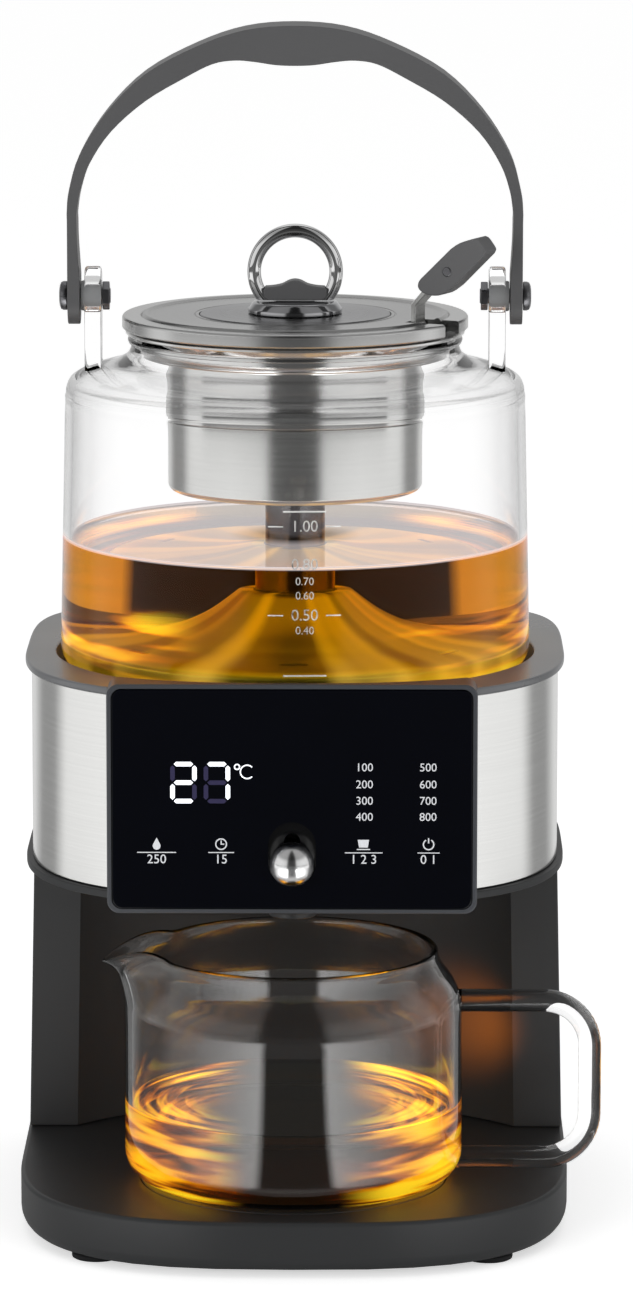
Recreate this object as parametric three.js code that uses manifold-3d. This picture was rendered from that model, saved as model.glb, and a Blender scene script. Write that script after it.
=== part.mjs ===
// Tea and coffee brewer: a glass kettle with an infuser basket stands in a heated well on top,
// and a carafe stands on a warming plate in the niche below it.
// Millimetres, +Z up. Places are measured from the kettle axis, and -Y faces the user.
import * as THREE from "three";
import { mergeVertices } from "three/addons/utils/BufferGeometryUtils.js";
import Module from "manifold-3d";

// Fits and walls that many pieces share
const fitGap = 0.3;
const overrun = 6;
const shellWall = 2.4;
const sheetWall = 0.8;
const mergeDistance = 0.001;

// Base
const baseHalfWidth = 90;
const baseCentreY = -20;
const baseFrontReach = 91;
const baseBackReach = 110;
const baseTop = 18.3;
const baseDeckThickness = 3;
const baseEdgeRound = 1;
const footHeight = 2;
const footRadius = 8;
const footStudRadius = 3;
const footInsetX = 27;
const footInsetY = 27;
const coverThickness = 2.2;

// Warming plate
const hotPlateRadius = 50;
const hotPlateThickness = 1.6;
const hotPlateProud = 0.3;
const hotPlateLedge = 4;
const hotPlateHeaterRadius = 32;
const hotPlateHeaterThickness = 5;

// Column and its niche
const columnTop = 115.4;
const columnHalfWidthTop = 87.3;
const columnHalfWidthFoot = 89.4;
const ribFrontY = 13;
const nicheRadius = 98;
const nicheBackY = 46;
const nicheCentreY = nicheBackY - nicheRadius;
const rearCoverHalfWidth = 55;
const rearCoverBottom = 27;
const rearCoverTop = 105;
const ventCount = 6;
const ventHalfWidth = 26;
const ventHeight = 3;
const ventPitch = 7;
const ventBottom = 62;
const glandX = 40;
const servicePortZ = 40;

// Head outline, shared by the collar lip and the underside plate
const headHalfWidth = 88.6;
const headFrontReach = 87;
const headBackReach = 88;
const headFrontPower = 2.6;
const headBackPower = 4.5;
const baseFrontPower = 2.9;
const baseBackPower = 8;
const headEdgeRound = 0.8;
const undersideBottom = columnTop + fitGap;
const undersideThickness = 2.5;
const collarTop = 184.5;
const lipThickness = 2.5;
const bandInset = 2;
const bandThickness = 1;

// Kettle well
const wellRadius = 78.6;
const wellWall = 2.2;
const wellDepth = 9.5;
const wellFloorTop = collarTop - wellDepth;
const wellFloorThickness = 2;
const heaterPlateRadius = 62;
const heaterPlateThickness = 1.4;
const heaterPlateLedge = 6;
const elementRadius = 38;
const elementTubeRadius = 3.5;
const probeRadius = 4;
const probeLength = 8;
const probeReach = 26;

// Drain cup, hoses, pump
const drainCupRadius = 14;
const drainCupWall = 2;
const drainCupDrop = 17;
const drainCupBottom = wellFloorTop - drainCupDrop;
const drainSpigotRadius = 3.6;
const drainSpigotLength = 6;
const drainSpigotRise = 5;
const drainSpigotZ = drainCupBottom + drainSpigotRise;
const seatPinRadius = 1.5;
const seatPinProud = 1.5;
const hoseRadius = 3;
const pumpRadius = 12;
const pumpHeight = 34;
const pumpX = -40;
const pumpBehindNiche = 20;
const pumpY = nicheBackY + pumpBehindNiche;
const inletRadius = 4;
const inletBore = 2.2;
const inletFlangeRadius = 6.5;
const glandRadius = 7;
const glandBore = 3.7;
const glandFlangeRadius = 9;
const glandDepth = 5;
const portProud = 1.6;
const hosePortHalfWidth = 50;
const hosePortFrontY = 57;
const hosePortBackY = 79;

// Power board behind the rear cover
const boardThickness = 1.6;
const powerBoardHalfWidth = 33;
const powerBoardBottom = 58;
const powerBoardTop = 102;
const relayHeight = 12;
const relayWidth = 18;
const capacitorRadius = 6;

// Control panel
const panelHalfWidth = 58.85;
const panelDrop = 1.4;
const panelRise = 3.9;
const panelBottom = undersideBottom - panelDrop;
const panelTop = collarTop + panelRise;
const panelFrontY = -90;
const panelCorner = 4;
const panelDepth = 24;
const frameEdge = 1.4;
const frameWall = 2.6;
const glassPanelThickness = 1.5;
const ledDepth = 2;
const displayBoardDepth = 1.5;
const displayBoardFoot = 6.7;
const displayBoardHead = 7.4;
const displayBoardBottom = panelBottom + displayBoardFoot;
const displayBoardTop = panelTop - displayBoardHead;
const digitsLeft = -40.5;
const digitsRight = -18;
const digitsHeight = 17;
const digitsBelowTop = 23.2;
const digitsTop = panelTop - digitsBelowTop;
const digitsBottom = digitsTop - digitsHeight;

// Ball lever and the tap that it works
const recessHalfWidth = 7.55;
const recessRise = 9;
const recessHeight = 20.7;
const recessBottom = panelBottom + recessRise;
const recessTop = recessBottom + recessHeight;
const recessWall = 1;
const recessDepth = 4;
const ballRadius = 7.1;
const ballRise = 7.9;
const ballZ = recessBottom + ballRise;
const ballProud = 4;
const ballY = panelFrontY - ballProud;
const ballBoreDepth = 4;
const stemRadius = 2;
const leverPivotDepth = 11;
const leverPivotY = panelFrontY + leverPivotDepth;
const hubRadius = 3.6;
const hubHalfWidth = 3.6;
const pivotPinRadius = 1.45;
const bracketEar = 2;
const bracketHalfDepth = 2.6;
const bracketFoot = 1.8;
const bracketCrown = 3.3;
const stemWindowHalfWidth = 9.6;
const stemWindowDrop = 1.8;
const stemWindowRise = 3;
const stemWindowBottom = recessBottom - stemWindowDrop;
const stemWindowTop = recessTop + stemWindowRise;
const tapBehindPivot = 11;
const tapY = leverPivotY + tapBehindPivot;
const leverTailReach = 1.5;
const leverTailY = tapY + leverTailReach;
const tapRadius = 7;
const tapBore = 5.6;
const tapHeight = 5.8;
const tapRoof = 1.2;
const seatThickness = 1.2;
const seatBore = 3.6;
const plungerRadius = 2.2;
const plungerDiscRadius = 4.9;
const plungerDiscThickness = 1.6;
const plungerPlay = 0.5;
const tapSpigotRadius = 2.7;
const tapSpigotBore = 1.6;
const tapSpigotLength = 5;
const nozzleRadius = 8;
const nozzleBore = 6.4;
const nozzleDrop = 6.5;
const nozzleLip = 1.2;

// Kettle glass
const kettleBottom = wellFloorTop + heaterPlateThickness + 2 * fitGap;
const kettleWall = 2.7;
const kettleFloor = kettleBottom + kettleWall;
const kettleRadius = 77.25;
const kettleUpperRadius = 75.5;
const kettleCornerRound = 10;
const kettleWallHeight = 86;
const kettleWallTop = kettleBottom + kettleWallHeight;
const shoulderRadius = 74.2;
const shoulderRise = 10.6;
const shoulderZ = kettleWallTop + shoulderRise;
const neckRadius = 53.7;
const neckFootRise = 10.4;
const neckFootZ = shoulderZ + neckFootRise;
const lipRadius = 54.8;
const neckHeight = 5;
const lipTop = neckFootZ + neckHeight;
const lipHeight = 3;
const earCentreX = 66;
const earThickness = 5.5;
const earHalfDepth = 6.8;
const pivotAboveLip = 12.3;
const pivotZ = lipTop + pivotAboveLip;
const earCrown = 9.7;
const earTop = pivotZ + earCrown;
const earLength = 34;
const earFootZ = earTop - earLength;

// Valve in the kettle bottom
const valveHoleRadius = 9;
const valveFlangeRadius = 14;
const valveFlangeThickness = 1.7;
const valveNutRadius = 11;
const valveNutThickness = 2;
const valveBore = 5;
const poppetStemRadius = 3.2;
const poppetRadius = 7;
const poppetThickness = 1.5;
const poppetLift = 2.2;

// Percolator cone and riser tube
const coneBrimRadius = 61.6;
const coneSkirtHeight = 5;
const coneBrimZ = kettleFloor + fitGap + coneSkirtHeight;
const coneTopRadius = 13.9;
const coneHeight = 21;
const coneTopZ = coneBrimZ + coneHeight;
const coneSlotCount = 6;
const coneSlotRadius = 50;
const coneSlotLength = 9;
const coneSlotWidth = 2.6;
const tubeRadius = 9.85;
const tubeDrop = 8;
const tubeLength = 72;
const tubeBottom = coneTopZ - tubeDrop;
const tubeTop = tubeBottom + tubeLength;

// Pivot hardware at each ear
const boltRadius = 2.5;
const boltHeadRadius = 4.75;
const boltHeadThickness = 2.6;
const sleeveRadius = 4.95;
const nutThickness = 2.3;

// Bail
const bailArmCentreX = 72.2;
const bailArmThickness = 4;
const bailArmHalfDepth = 8;
const bailGripHalfDepth = 10;
const bailEndDrop = 9.3;
const bailEndZ = pivotZ - bailEndDrop;
const bailStraightRise = 24.7;
const bailStraightTop = pivotZ + bailStraightRise;
const bailArchRise = 64.2;
const bailTop = bailStraightTop + bailArchRise;
const bailGripThickness = 13;

// Infuser basket
const cupRadius = 41.7;
const basketDepth = 51;
const cupBottom = lipTop - basketDepth;
const cupCorner = 2;
const lowerCupHeight = 25.6;
const seamZ = cupBottom + lowerCupHeight;
const cupSpigotHeight = 4.4;
const chimneyHeight = 20;
const chimneyClearance = 0.6;
const drainHoleCount = 8;
const drainHoleRadius = 1.6;
const drainHoleReach = 27;
const shelfDepth = 7.4;
const shelfZ = lipTop - shelfDepth;
const shelfRise = 1.8;
const funnelRadius = 50.4;
const rimFlangeRadius = 55.5;
const rimFlangeThickness = 1.2;

// Handle of the basket, in a radial plane at handleAzimuth
const handleAzimuth = THREE.MathUtils.degToRad(-25);
const stripReach = 44.2;
const stripWidth = 8;
const stripThickness = 1.5;
const stripKneeRise = 12;
const stripKneeZ = lipTop + stripKneeRise;
const stripEndReach = 50;
const stripEndRise = 6.6;
const stripEndZ = stripKneeZ + stripEndRise;
const gripStartReach = 46.6;
const gripStartRise = 4.4;
const gripStartZ = stripKneeZ + gripStartRise;
const gripEndReach = 70;
const gripRise = 16.8;
const gripEndZ = gripStartZ + gripRise;
const gripWidth = 9;
const gripThickness = 7;
const rivetRadius = 1.6;
const rivetShare = 0.42;

// Lid
const lidRadius = 56.6;
const lidHeight = 4.3;
const lidWebThickness = 1.4;
const lidSkirtRadius = 47.7;
const lidSkirtDepth = 5;
const lidBeadRadius = 49;
const lidBeadHeight = 0.6;
const gasketThickness = 0.9;
const gasketHeight = 3.4;
const centreDiscRadius = 31.2;
const centreDiscThickness = 1.3;
const notchWidth = 10.6;
const notchStart = 42;
const knobFootRadius = 15.4;
const knobFootHeight = 3.8;
const knobRingRadius = 13.4;
const knobRingTube = 2.25;
const knobRingRise = 9.5;
const saddleHalfWidth = 10.4;
const saddleHeight = 6.6;
const saddleHalfDepth = 3.4;
const saddleBump = 2;

// Carafe
const carafeCentreY = -50;
const carafeRadius = 54.9;
const carafeWall = 2.3;
const carafeFloorThickness = 3;
const carafeCornerRound = 9;
const carafeBottom = baseTop + hotPlateProud + fitGap;
const carafeShoulderRise = 57.1;
const carafeShoulderZ = carafeBottom + carafeShoulderRise;
const carafeNeckHeight = 18.5;
const carafeRimZ = carafeShoulderZ + carafeNeckHeight;
const carafeRimRadius = 47.1;
const spoutReach = 15.5;
const spoutDip = 4.6;
const spoutHalfAngle = THREE.MathUtils.degToRad(34);
const spoutSideShare = 0.5;
const carafeHandleReach = 100.2;
const handleRodRadius = 3.7;
const handleTopRise = 58.1;
const handleBottomRise = 5.7;
const handleTopZ = carafeBottom + handleTopRise;
const handleBottomZ = carafeBottom + handleBottomRise;
const handleCorner = 15;
const handleBulgeShare = 0.06;

// Facet counts
const wideSteps = 30;
const carafeSteps = 32;
const ringSteps = 26;
const middleSteps = 20;
const roundSteps = 12;
const smallSteps = 8;
const planSteps = 40;
const hoseSides = 6;
const drainHoseSteps = 12;
const supplyHoseSteps = 18;

// Colours, roughness and metalness of the materials
function surface(color, roughness, metalness) {
  return new THREE.MeshStandardMaterial({ color, roughness, metalness });
}

function clearSurface(color, opacity) {
  const material = surface(color, 0.04, 0);
  material.transparent = true;
  material.opacity = opacity;
  return material;
}

const materials = {
  charcoal: surface("#3a3b3c", 0.5, 0),
  collar: surface("#56585a", 0.45, 0),
  brushedSteel: surface("#d8d8d6", 0.32, 1),
  steel: surface("#b4b4b4", 0.28, 1),
  darkSteel: surface("#8a8a8a", 0.35, 1),
  chrome: surface("#e6e6e8", 0.08, 1),
  panelFrame: surface("#4a4c50", 0.4, 0.4),
  panelGlass: surface("#02030a", 0.06, 0),
  glass: clearSurface("#f4f8fa", 0.3),
  grip: surface("#6f7072", 0.6, 0),
  handle: surface("#555557", 0.5, 0),
  rubber: surface("#8d8f90", 0.8, 0),
  silicone: surface("#d9dbda", 0.6, 0),
  board: surface("#1f5a3a", 0.6, 0),
  digits: surface("#dfe6ff", 0.4, 0),
  heater: surface("#707274", 0.5, 1),
  plate: surface("#1c1c1e", 0.3, 0),
};

// Booleans
const wasm = await Module();
wasm.setup();

function solidFrom(geometry) {
  const bare = geometry.clone();
  bare.deleteAttribute("normal");
  bare.deleteAttribute("uv");
  const merged = mergeVertices(bare, mergeDistance);
  const index = merged.index.array;
  const kept = [];
  for (let i = 0; i < index.length; i += 3) {
    const [a, b, c] = [index[i], index[i + 1], index[i + 2]];
    // A face that touches the lathe axis may have shrunk to a line.
    if (a !== b && b !== c && c !== a) kept.push(a, b, c);
  }
  return new wasm.Manifold(
    new wasm.Mesh({
      numProp: 3,
      vertProperties: merged.attributes.position.array,
      triVerts: new Uint32Array(kept),
    }),
  );
}

function geometryFrom(solid) {
  const mesh = solid.getMesh();
  const geometry = new THREE.BufferGeometry();
  const places = new Float32Array(mesh.vertProperties);
  geometry.setAttribute("position", new THREE.BufferAttribute(places, 3));
  geometry.setIndex(new THREE.BufferAttribute(new Uint32Array(mesh.triVerts), 1));
  geometry.computeVertexNormals();
  return geometry;
}

function joined(...solids) {
  return solids.reduce((whole, next) => whole.add(next));
}

function cut(solid, ...cutters) {
  return cutters.reduce((rest, cutter) => rest.subtract(cutter), solid);
}

// Shapes
// A profile is a list of [radius, height] that runs anticlockwise, radius to the right.
function lathe(profile, steps = middleSteps, closed = true) {
  const points = profile.map(([r, z]) => new THREE.Vector2(r, z));
  if (closed) points.push(points[0].clone());
  const geometry = new THREE.LatheGeometry(points, steps);
  geometry.rotateX(Math.PI / 2);
  return solidFrom(geometry);
}

function onAxis(profile, steps = middleSteps) {
  return lathe(profile, steps, false);
}

function shapeFrom(outline) {
  return new THREE.Shape(outline.map(([a, b]) => new THREE.Vector2(a, b)));
}

// A column over an outline of [x, y], with an optional rounded edge.
function prism(outline, bottom, top, round = 0) {
  const geometry = new THREE.ExtrudeGeometry(shapeFrom(outline), {
    depth: top - bottom - 2 * round,
    bevelEnabled: round > 0,
    bevelThickness: round,
    bevelSize: round,
    bevelOffset: -round,
    bevelSegments: 1,
  });
  geometry.translate(0, 0, bottom + round);
  return solidFrom(geometry);
}

// A slab over an outline of [x, z], from frontY to backY.
function upright(outline, frontY, backY) {
  const geometry = new THREE.ExtrudeGeometry(shapeFrom(outline), {
    depth: backY - frontY,
    bevelEnabled: false,
  });
  geometry.rotateX(Math.PI / 2);
  geometry.translate(0, backY, 0);
  return solidFrom(geometry);
}

// A slab over an outline of [y, z], between two places on X.
function sideways(outline, left, right) {
  const geometry = new THREE.ExtrudeGeometry(shapeFrom(outline), {
    depth: right - left,
    bevelEnabled: false,
  });
  geometry.rotateX(Math.PI / 2);
  geometry.rotateZ(Math.PI / 2);
  geometry.translate(left, 0, 0);
  return solidFrom(geometry);
}

function block(left, right, front, back, bottom, top) {
  const geometry = new THREE.BoxGeometry(right - left, back - front, top - bottom);
  geometry.translate((left + right) / 2, (front + back) / 2, (bottom + top) / 2);
  return solidFrom(geometry);
}

function post(radius, x, y, bottom, top, steps = smallSteps) {
  const geometry = new THREE.CylinderGeometry(radius, radius, top - bottom, steps);
  geometry.rotateX(Math.PI / 2);
  geometry.translate(x, y, (bottom + top) / 2);
  return solidFrom(geometry);
}

function crossPin(radius, left, right, y, z, steps = smallSteps) {
  const geometry = new THREE.CylinderGeometry(radius, radius, right - left, steps);
  geometry.rotateZ(Math.PI / 2);
  geometry.translate((left + right) / 2, y, z);
  return solidFrom(geometry);
}

function depthPin(radius, front, back, x, z, steps = smallSteps) {
  const geometry = new THREE.CylinderGeometry(radius, radius, back - front, steps);
  geometry.translate(x, (front + back) / 2, z);
  return solidFrom(geometry);
}

function circleShape(radius, sides) {
  const shape = new THREE.Shape();
  for (let i = 0; i < sides; i += 1) {
    const turn = (2 * Math.PI * i) / sides;
    const [x, y] = [radius * Math.cos(turn), radius * Math.sin(turn)];
    if (i === 0) shape.moveTo(x, y);
    else shape.lineTo(x, y);
  }
  return shape;
}

function hose(curve, radius, steps, sides = hoseSides) {
  const geometry = new THREE.ExtrudeGeometry(circleShape(radius, sides), {
    steps,
    extrudePath: curve,
    bevelEnabled: false,
  });
  return solidFrom(geometry);
}

function throughPoints(points) {
  return new THREE.CatmullRomCurve3(points.map(([x, y, z]) => new THREE.Vector3(x, y, z)));
}

// Points of an arc from one angle to another, both ends included.
function arc(centreA, centreB, radius, from, to, steps) {
  const points = [];
  for (let i = 0; i <= steps; i += 1) {
    const angle = THREE.MathUtils.degToRad(from + ((to - from) * i) / steps);
    points.push([centreA + radius * Math.cos(angle), centreB + radius * Math.sin(angle)]);
  }
  return points;
}

// Closed outline with a front half and a back half, each its own superellipse.
function plan(size, inset = 0) {
  const points = [];
  for (let i = 0; i < planSteps; i += 1) {
    const turn = (2 * Math.PI * i) / planSteps;
    const [across, along] = [Math.cos(turn), Math.sin(turn)];
    const power = along < 0 ? size.frontPower : size.backPower;
    const reach = (along < 0 ? size.frontReach : size.backReach) - inset;
    const bend = (part) => Math.sign(part) * Math.abs(part) ** (2 / power);
    points.push([(size.halfWidth - inset) * bend(across), size.centreY + reach * bend(along)]);
  }
  return points;
}

function roundedRectangle(left, right, bottom, top, corner, steps = 3) {
  return [
    ...arc(right - corner, bottom + corner, corner, -90, 0, steps),
    ...arc(right - corner, top - corner, corner, 0, 90, steps),
    ...arc(left + corner, top - corner, corner, 90, 180, steps),
    ...arc(left + corner, bottom + corner, corner, 180, 270, steps),
  ];
}

function obround(halfWidth, bottom, top, steps = 8) {
  return [
    ...arc(0, bottom + halfWidth, halfWidth, 180, 360, steps),
    ...arc(0, top - halfWidth, halfWidth, 0, 180, steps),
  ];
}

// The whole brewer, and a function that adds a named piece to it
const brewer = new THREE.Group();

function piece(name, solid, material) {
  const mesh = new THREE.Mesh(geometryFrom(solid), material);
  mesh.name = name;
  brewer.add(mesh);
  return mesh;
}

// Outlines and heights that follow from the sizes above
const basePlan = {
  halfWidth: baseHalfWidth,
  centreY: baseCentreY,
  frontReach: baseFrontReach,
  backReach: baseBackReach,
  frontPower: baseFrontPower,
  backPower: baseBackPower,
};
const headPlan = {
  halfWidth: headHalfWidth,
  centreY: 0,
  frontReach: headFrontReach,
  backReach: headBackReach,
  frontPower: headFrontPower,
  backPower: headBackPower,
};
const columnPlan = { ...headPlan, halfWidth: columnHalfWidthFoot };
const undersideTop = undersideBottom + undersideThickness;
const lipBottom = collarTop - lipThickness;
const bandBottom = undersideTop + fitGap;
const bandTop = lipBottom - fitGap;
const columnFoot = baseTop + fitGap;
const innerShellInset = bandInset + bandThickness + fitGap;
const wellFloorBottom = wellFloorTop - wellFloorThickness;
const heaterPlateBottom = wellFloorTop + fitGap;
const heaterPlateTop = heaterPlateBottom + heaterPlateThickness;
const headInside = undersideTop + fitGap;

// Base: an open tray under a deck, closed from below by a cover on four feet
function addBase() {
  const footDeck = footHeight + coverThickness;
  const tray = prism(plan(basePlan), footHeight, baseTop, baseEdgeRound);
  const hollow = prism(plan(basePlan, shellWall), footHeight - overrun, baseTop - baseDeckThickness);
  const recess = post(
    hotPlateRadius + fitGap,
    0,
    carafeCentreY,
    baseTop + hotPlateProud - hotPlateThickness - fitGap,
    baseTop + overrun,
    middleSteps,
  );
  const hole = post(
    hotPlateRadius - hotPlateLedge,
    0,
    carafeCentreY,
    footHeight,
    baseTop + overrun,
    middleSteps,
  );
  piece("base_plate", cut(tray, hollow, recess, hole), materials.charcoal);

  const footX = baseHalfWidth - footInsetX;
  const footFrontY = baseCentreY - baseFrontReach + footInsetY;
  const footBackY = baseCentreY + baseBackReach - footInsetY;
  const feet = [
    ["foot_front_left", -footX, footFrontY],
    ["foot_front_right", footX, footFrontY],
    ["foot_rear_left", -footX, footBackY],
    ["foot_rear_right", footX, footBackY],
  ];
  let cover = prism(plan(basePlan, shellWall + fitGap), footHeight + fitGap, footDeck + fitGap);
  for (const [name, x, y] of feet) {
    cover = cut(cover, post(footStudRadius + fitGap, x, y, 0, baseTop));
    const pad = post(footRadius, x, y, 0, footHeight);
    const stud = post(footStudRadius, x, y, footHeight / 2, footDeck + fitGap);
    piece(name, joined(pad, stud), materials.rubber);
  }
  piece("base_cover", cover, materials.charcoal);

  const plateTop = baseTop + hotPlateProud;
  const plateBottom = plateTop - hotPlateThickness;
  piece(
    "hot_plate",
    post(hotPlateRadius, 0, carafeCentreY, plateBottom, plateTop, middleSteps),
    materials.plate,
  );
  piece(
    "hot_plate_heater",
    post(
      hotPlateHeaterRadius,
      0,
      carafeCentreY,
      plateBottom - fitGap - hotPlateHeaterThickness,
      plateBottom - fitGap,
      middleSteps,
    ),
    materials.heater,
  );
}

// Column: its sides lean in a little towards the head, and a niche is cut for the carafe
function leanIn(geometry) {
  const places = geometry.attributes.position;
  const lean = (columnHalfWidthFoot - columnHalfWidthTop) / columnHalfWidthFoot;
  for (let i = 0; i < places.count; i += 1) {
    const share = (places.getZ(i) - columnFoot) / (columnTop - columnFoot);
    places.setX(i, places.getX(i) * (1 - lean * share));
  }
  return geometry;
}

function columnBody(inset) {
  const geometry = new THREE.ExtrudeGeometry(shapeFrom(plan(columnPlan, inset)), {
    depth: columnTop - columnFoot,
    bevelEnabled: false,
  });
  geometry.translate(0, 0, columnFoot);
  const whole = solidFrom(leanIn(geometry));
  const niche = post(
    nicheRadius + inset,
    0,
    nicheCentreY,
    columnFoot - overrun,
    columnTop + overrun,
    wideSteps,
  );
  const ahead = block(
    -baseHalfWidth - overrun,
    baseHalfWidth + overrun,
    -baseFrontReach - headFrontReach,
    ribFrontY + inset,
    columnFoot - overrun,
    columnTop + overrun,
  );
  return cut(whole, niche, ahead);
}

function addColumn() {
  // The hollow runs out through both ends of the column.
  const hollow = columnBody(shellWall);
  const endless = joined(
    hollow,
    hollow.translate([0, 0, overrun]),
    hollow.translate([0, 0, -overrun]),
  );
  const walls = cut(columnBody(0), endless);
  const doorway = (gap) =>
    block(
      gap - rearCoverHalfWidth,
      rearCoverHalfWidth - gap,
      hosePortBackY,
      headBackReach + overrun,
      rearCoverBottom + gap,
      rearCoverTop - gap,
    );
  piece("column_shell", cut(walls, doorway(0)), materials.charcoal);

  const portFront = headBackReach - shellWall * 2;
  const portBack = headBackReach + overrun;
  let door = walls.intersect(doorway(fitGap));
  for (let i = 0; i < ventCount; i += 1) {
    const z = ventBottom + i * ventPitch;
    door = cut(door, block(-ventHalfWidth, ventHalfWidth, portFront, portBack, z, z + ventHeight));
  }
  door = cut(
    door,
    depthPin(inletRadius + fitGap, portFront, portBack, pumpX, servicePortZ),
    depthPin(glandRadius + fitGap, portFront, portBack, glandX, servicePortZ, roundSteps),
  );
  piece("rear_cover", door, materials.charcoal);

  const outerFace = headBackReach + fitGap;
  const gland = joined(
    depthPin(glandRadius, outerFace - glandDepth, outerFace + portProud, glandX, servicePortZ, roundSteps),
    depthPin(glandFlangeRadius, outerFace, outerFace + portProud, glandX, servicePortZ, roundSteps),
  );
  const glandHole = depthPin(glandBore, outerFace - overrun, outerFace + overrun, glandX, servicePortZ);
  piece("cord_gland", cut(gland, glandHole), materials.rubber);

  const pumpBottom = columnFoot;
  const pumpTop = pumpBottom + pumpHeight;
  const pumpBody = post(pumpRadius, pumpX, pumpY, pumpBottom, pumpTop, roundSteps);
  const outlet = post(hoseRadius, pumpX, pumpY, pumpTop - fitGap, pumpTop + hoseRadius);
  piece("water_pump", joined(pumpBody, outlet), materials.charcoal);

  const inletFront = pumpY + pumpRadius + fitGap;
  const inlet = joined(
    depthPin(inletRadius, inletFront, outerFace + portProud, pumpX, servicePortZ),
    depthPin(inletFlangeRadius, outerFace, outerFace + portProud, pumpX, servicePortZ),
  );
  const inletHole = depthPin(inletBore, inletFront + shellWall, outerFace + overrun, pumpX, servicePortZ);
  piece("water_inlet", cut(inlet, inletHole), materials.charcoal);

  const boardBack = headBackReach - shellWall - 3 * fitGap;
  const boardFront = boardBack - boardThickness;
  piece(
    "power_board",
    joined(
      block(
        -powerBoardHalfWidth,
        powerBoardHalfWidth,
        boardFront,
        boardBack,
        powerBoardBottom,
        powerBoardTop,
      ),
      block(
        -powerBoardHalfWidth + relayWidth / 3,
        -powerBoardHalfWidth + relayWidth,
        boardFront - relayHeight,
        boardFront + boardThickness / 2,
        powerBoardBottom + relayWidth / 3,
        powerBoardBottom + relayWidth,
      ),
      depthPin(
        capacitorRadius,
        boardFront - relayHeight,
        boardFront + boardThickness / 2,
        powerBoardHalfWidth / 2,
        (powerBoardBottom + powerBoardTop) / 2,
      ),
    ),
    materials.board,
  );
  return { pumpOutlet: pumpTop + hoseRadius + fitGap };
}

// Head: underside plate, inner shell, steel band and the collar with the kettle well
function addHead() {
  const windowShape = roundedRectangle(
    -stemWindowHalfWidth,
    stemWindowHalfWidth,
    stemWindowBottom,
    stemWindowTop,
    recessHalfWidth,
  );
  const stemWindow = upright(windowShape, -headFrontReach - overrun, leverPivotY);
  const panelBay = block(
    -panelHalfWidth - fitGap,
    panelHalfWidth + fitGap,
    -headFrontReach - overrun,
    0,
    undersideBottom,
    collarTop,
  );

  const hosePort = block(
    -hosePortHalfWidth,
    hosePortHalfWidth,
    hosePortFrontY,
    hosePortBackY,
    undersideBottom - overrun,
    undersideTop + overrun,
  );
  const nozzleHole = post(
    nozzleRadius + fitGap,
    0,
    tapY,
    undersideBottom - overrun,
    undersideTop + overrun,
    roundSteps,
  );
  const underside = prism(plan(headPlan), undersideBottom, undersideTop, headEdgeRound);
  piece("head_underside", cut(underside, hosePort, nozzleHole), materials.charcoal);

  const shellOuter = prism(plan(headPlan, innerShellInset), bandBottom, bandTop);
  const shellInner = prism(
    plan(headPlan, innerShellInset + shellWall),
    bandBottom - overrun,
    bandTop + overrun,
  );
  piece("head_shell", cut(shellOuter, shellInner, stemWindow), materials.charcoal);

  const bandOuter = prism(plan(headPlan, bandInset), bandBottom, bandTop);
  const bandInner = prism(
    plan(headPlan, bandInset + bandThickness),
    bandBottom - overrun,
    bandTop + overrun,
  );
  piece("steel_band", cut(bandOuter, bandInner, panelBay), materials.brushedSteel);

  const lip = prism(plan(headPlan), lipBottom, collarTop, headEdgeRound);
  const wellOuter = post(wellRadius + wellWall, 0, 0, wellFloorBottom, collarTop - headEdgeRound, wideSteps);
  const wellInner = post(wellRadius, 0, 0, wellFloorTop, collarTop + overrun, wideSteps);
  const floorHole = post(
    heaterPlateRadius - heaterPlateLedge,
    0,
    0,
    wellFloorBottom - overrun,
    collarTop,
    middleSteps,
  );
  piece("top_collar", cut(joined(lip, wellOuter), wellInner, floorHole), materials.collar);
}

// Heater in the well, and the drain cup that the kettle valve stands in
function addWell() {
  const plateHole = drainCupRadius + fitGap;
  piece(
    "heater_plate",
    lathe(
      [
        [plateHole, heaterPlateBottom],
        [heaterPlateRadius, heaterPlateBottom],
        [heaterPlateRadius, heaterPlateTop],
        [plateHole, heaterPlateTop],
      ],
      wideSteps,
    ),
    materials.steel,
  );
  const elementZ = heaterPlateBottom - fitGap - elementTubeRadius;
  const ring = arc(elementRadius, elementZ, elementTubeRadius, -90, 225, 7);
  piece("heating_element", lathe(ring, middleSteps), materials.heater);
  const probeTop = heaterPlateBottom - fitGap;
  piece(
    "temperature_probe",
    post(probeRadius, 0, probeReach, probeTop - probeLength, probeTop),
    materials.steel,
  );

  const cupRim = heaterPlateTop - fitGap;
  const cupWalls = onAxis([
    [0, drainCupBottom],
    [drainCupRadius, drainCupBottom],
    [drainCupRadius, cupRim],
    [drainCupRadius - drainCupWall, cupRim],
    [drainCupRadius - drainCupWall, drainCupBottom + drainCupWall],
    [0, drainCupBottom + drainCupWall],
  ]);
  const seatPin = post(seatPinRadius, 0, 0, drainCupBottom + drainCupWall / 2, kettleBottom + seatPinProud);
  const spigotEnd = drainCupRadius + drainSpigotLength;
  const spigotStart = drainCupRadius - drainCupWall / 2;
  const frontSpigot = depthPin(drainSpigotRadius, -spigotEnd, -spigotStart, 0, drainSpigotZ);
  const frontBore = depthPin(drainSpigotRadius / 2, -spigotEnd - overrun, 0, 0, drainSpigotZ);
  const turn = [0, 0, -135];
  piece(
    "drain_cup",
    cut(
      joined(cupWalls, seatPin, frontSpigot, frontSpigot.rotate(turn)),
      cut(frontBore, post(drainCupRadius - drainCupWall, 0, 0, 0, kettleBottom)),
      cut(frontBore, post(drainCupRadius - drainCupWall, 0, 0, 0, kettleBottom)).rotate(turn),
    ),
    materials.charcoal,
  );
}

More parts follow.
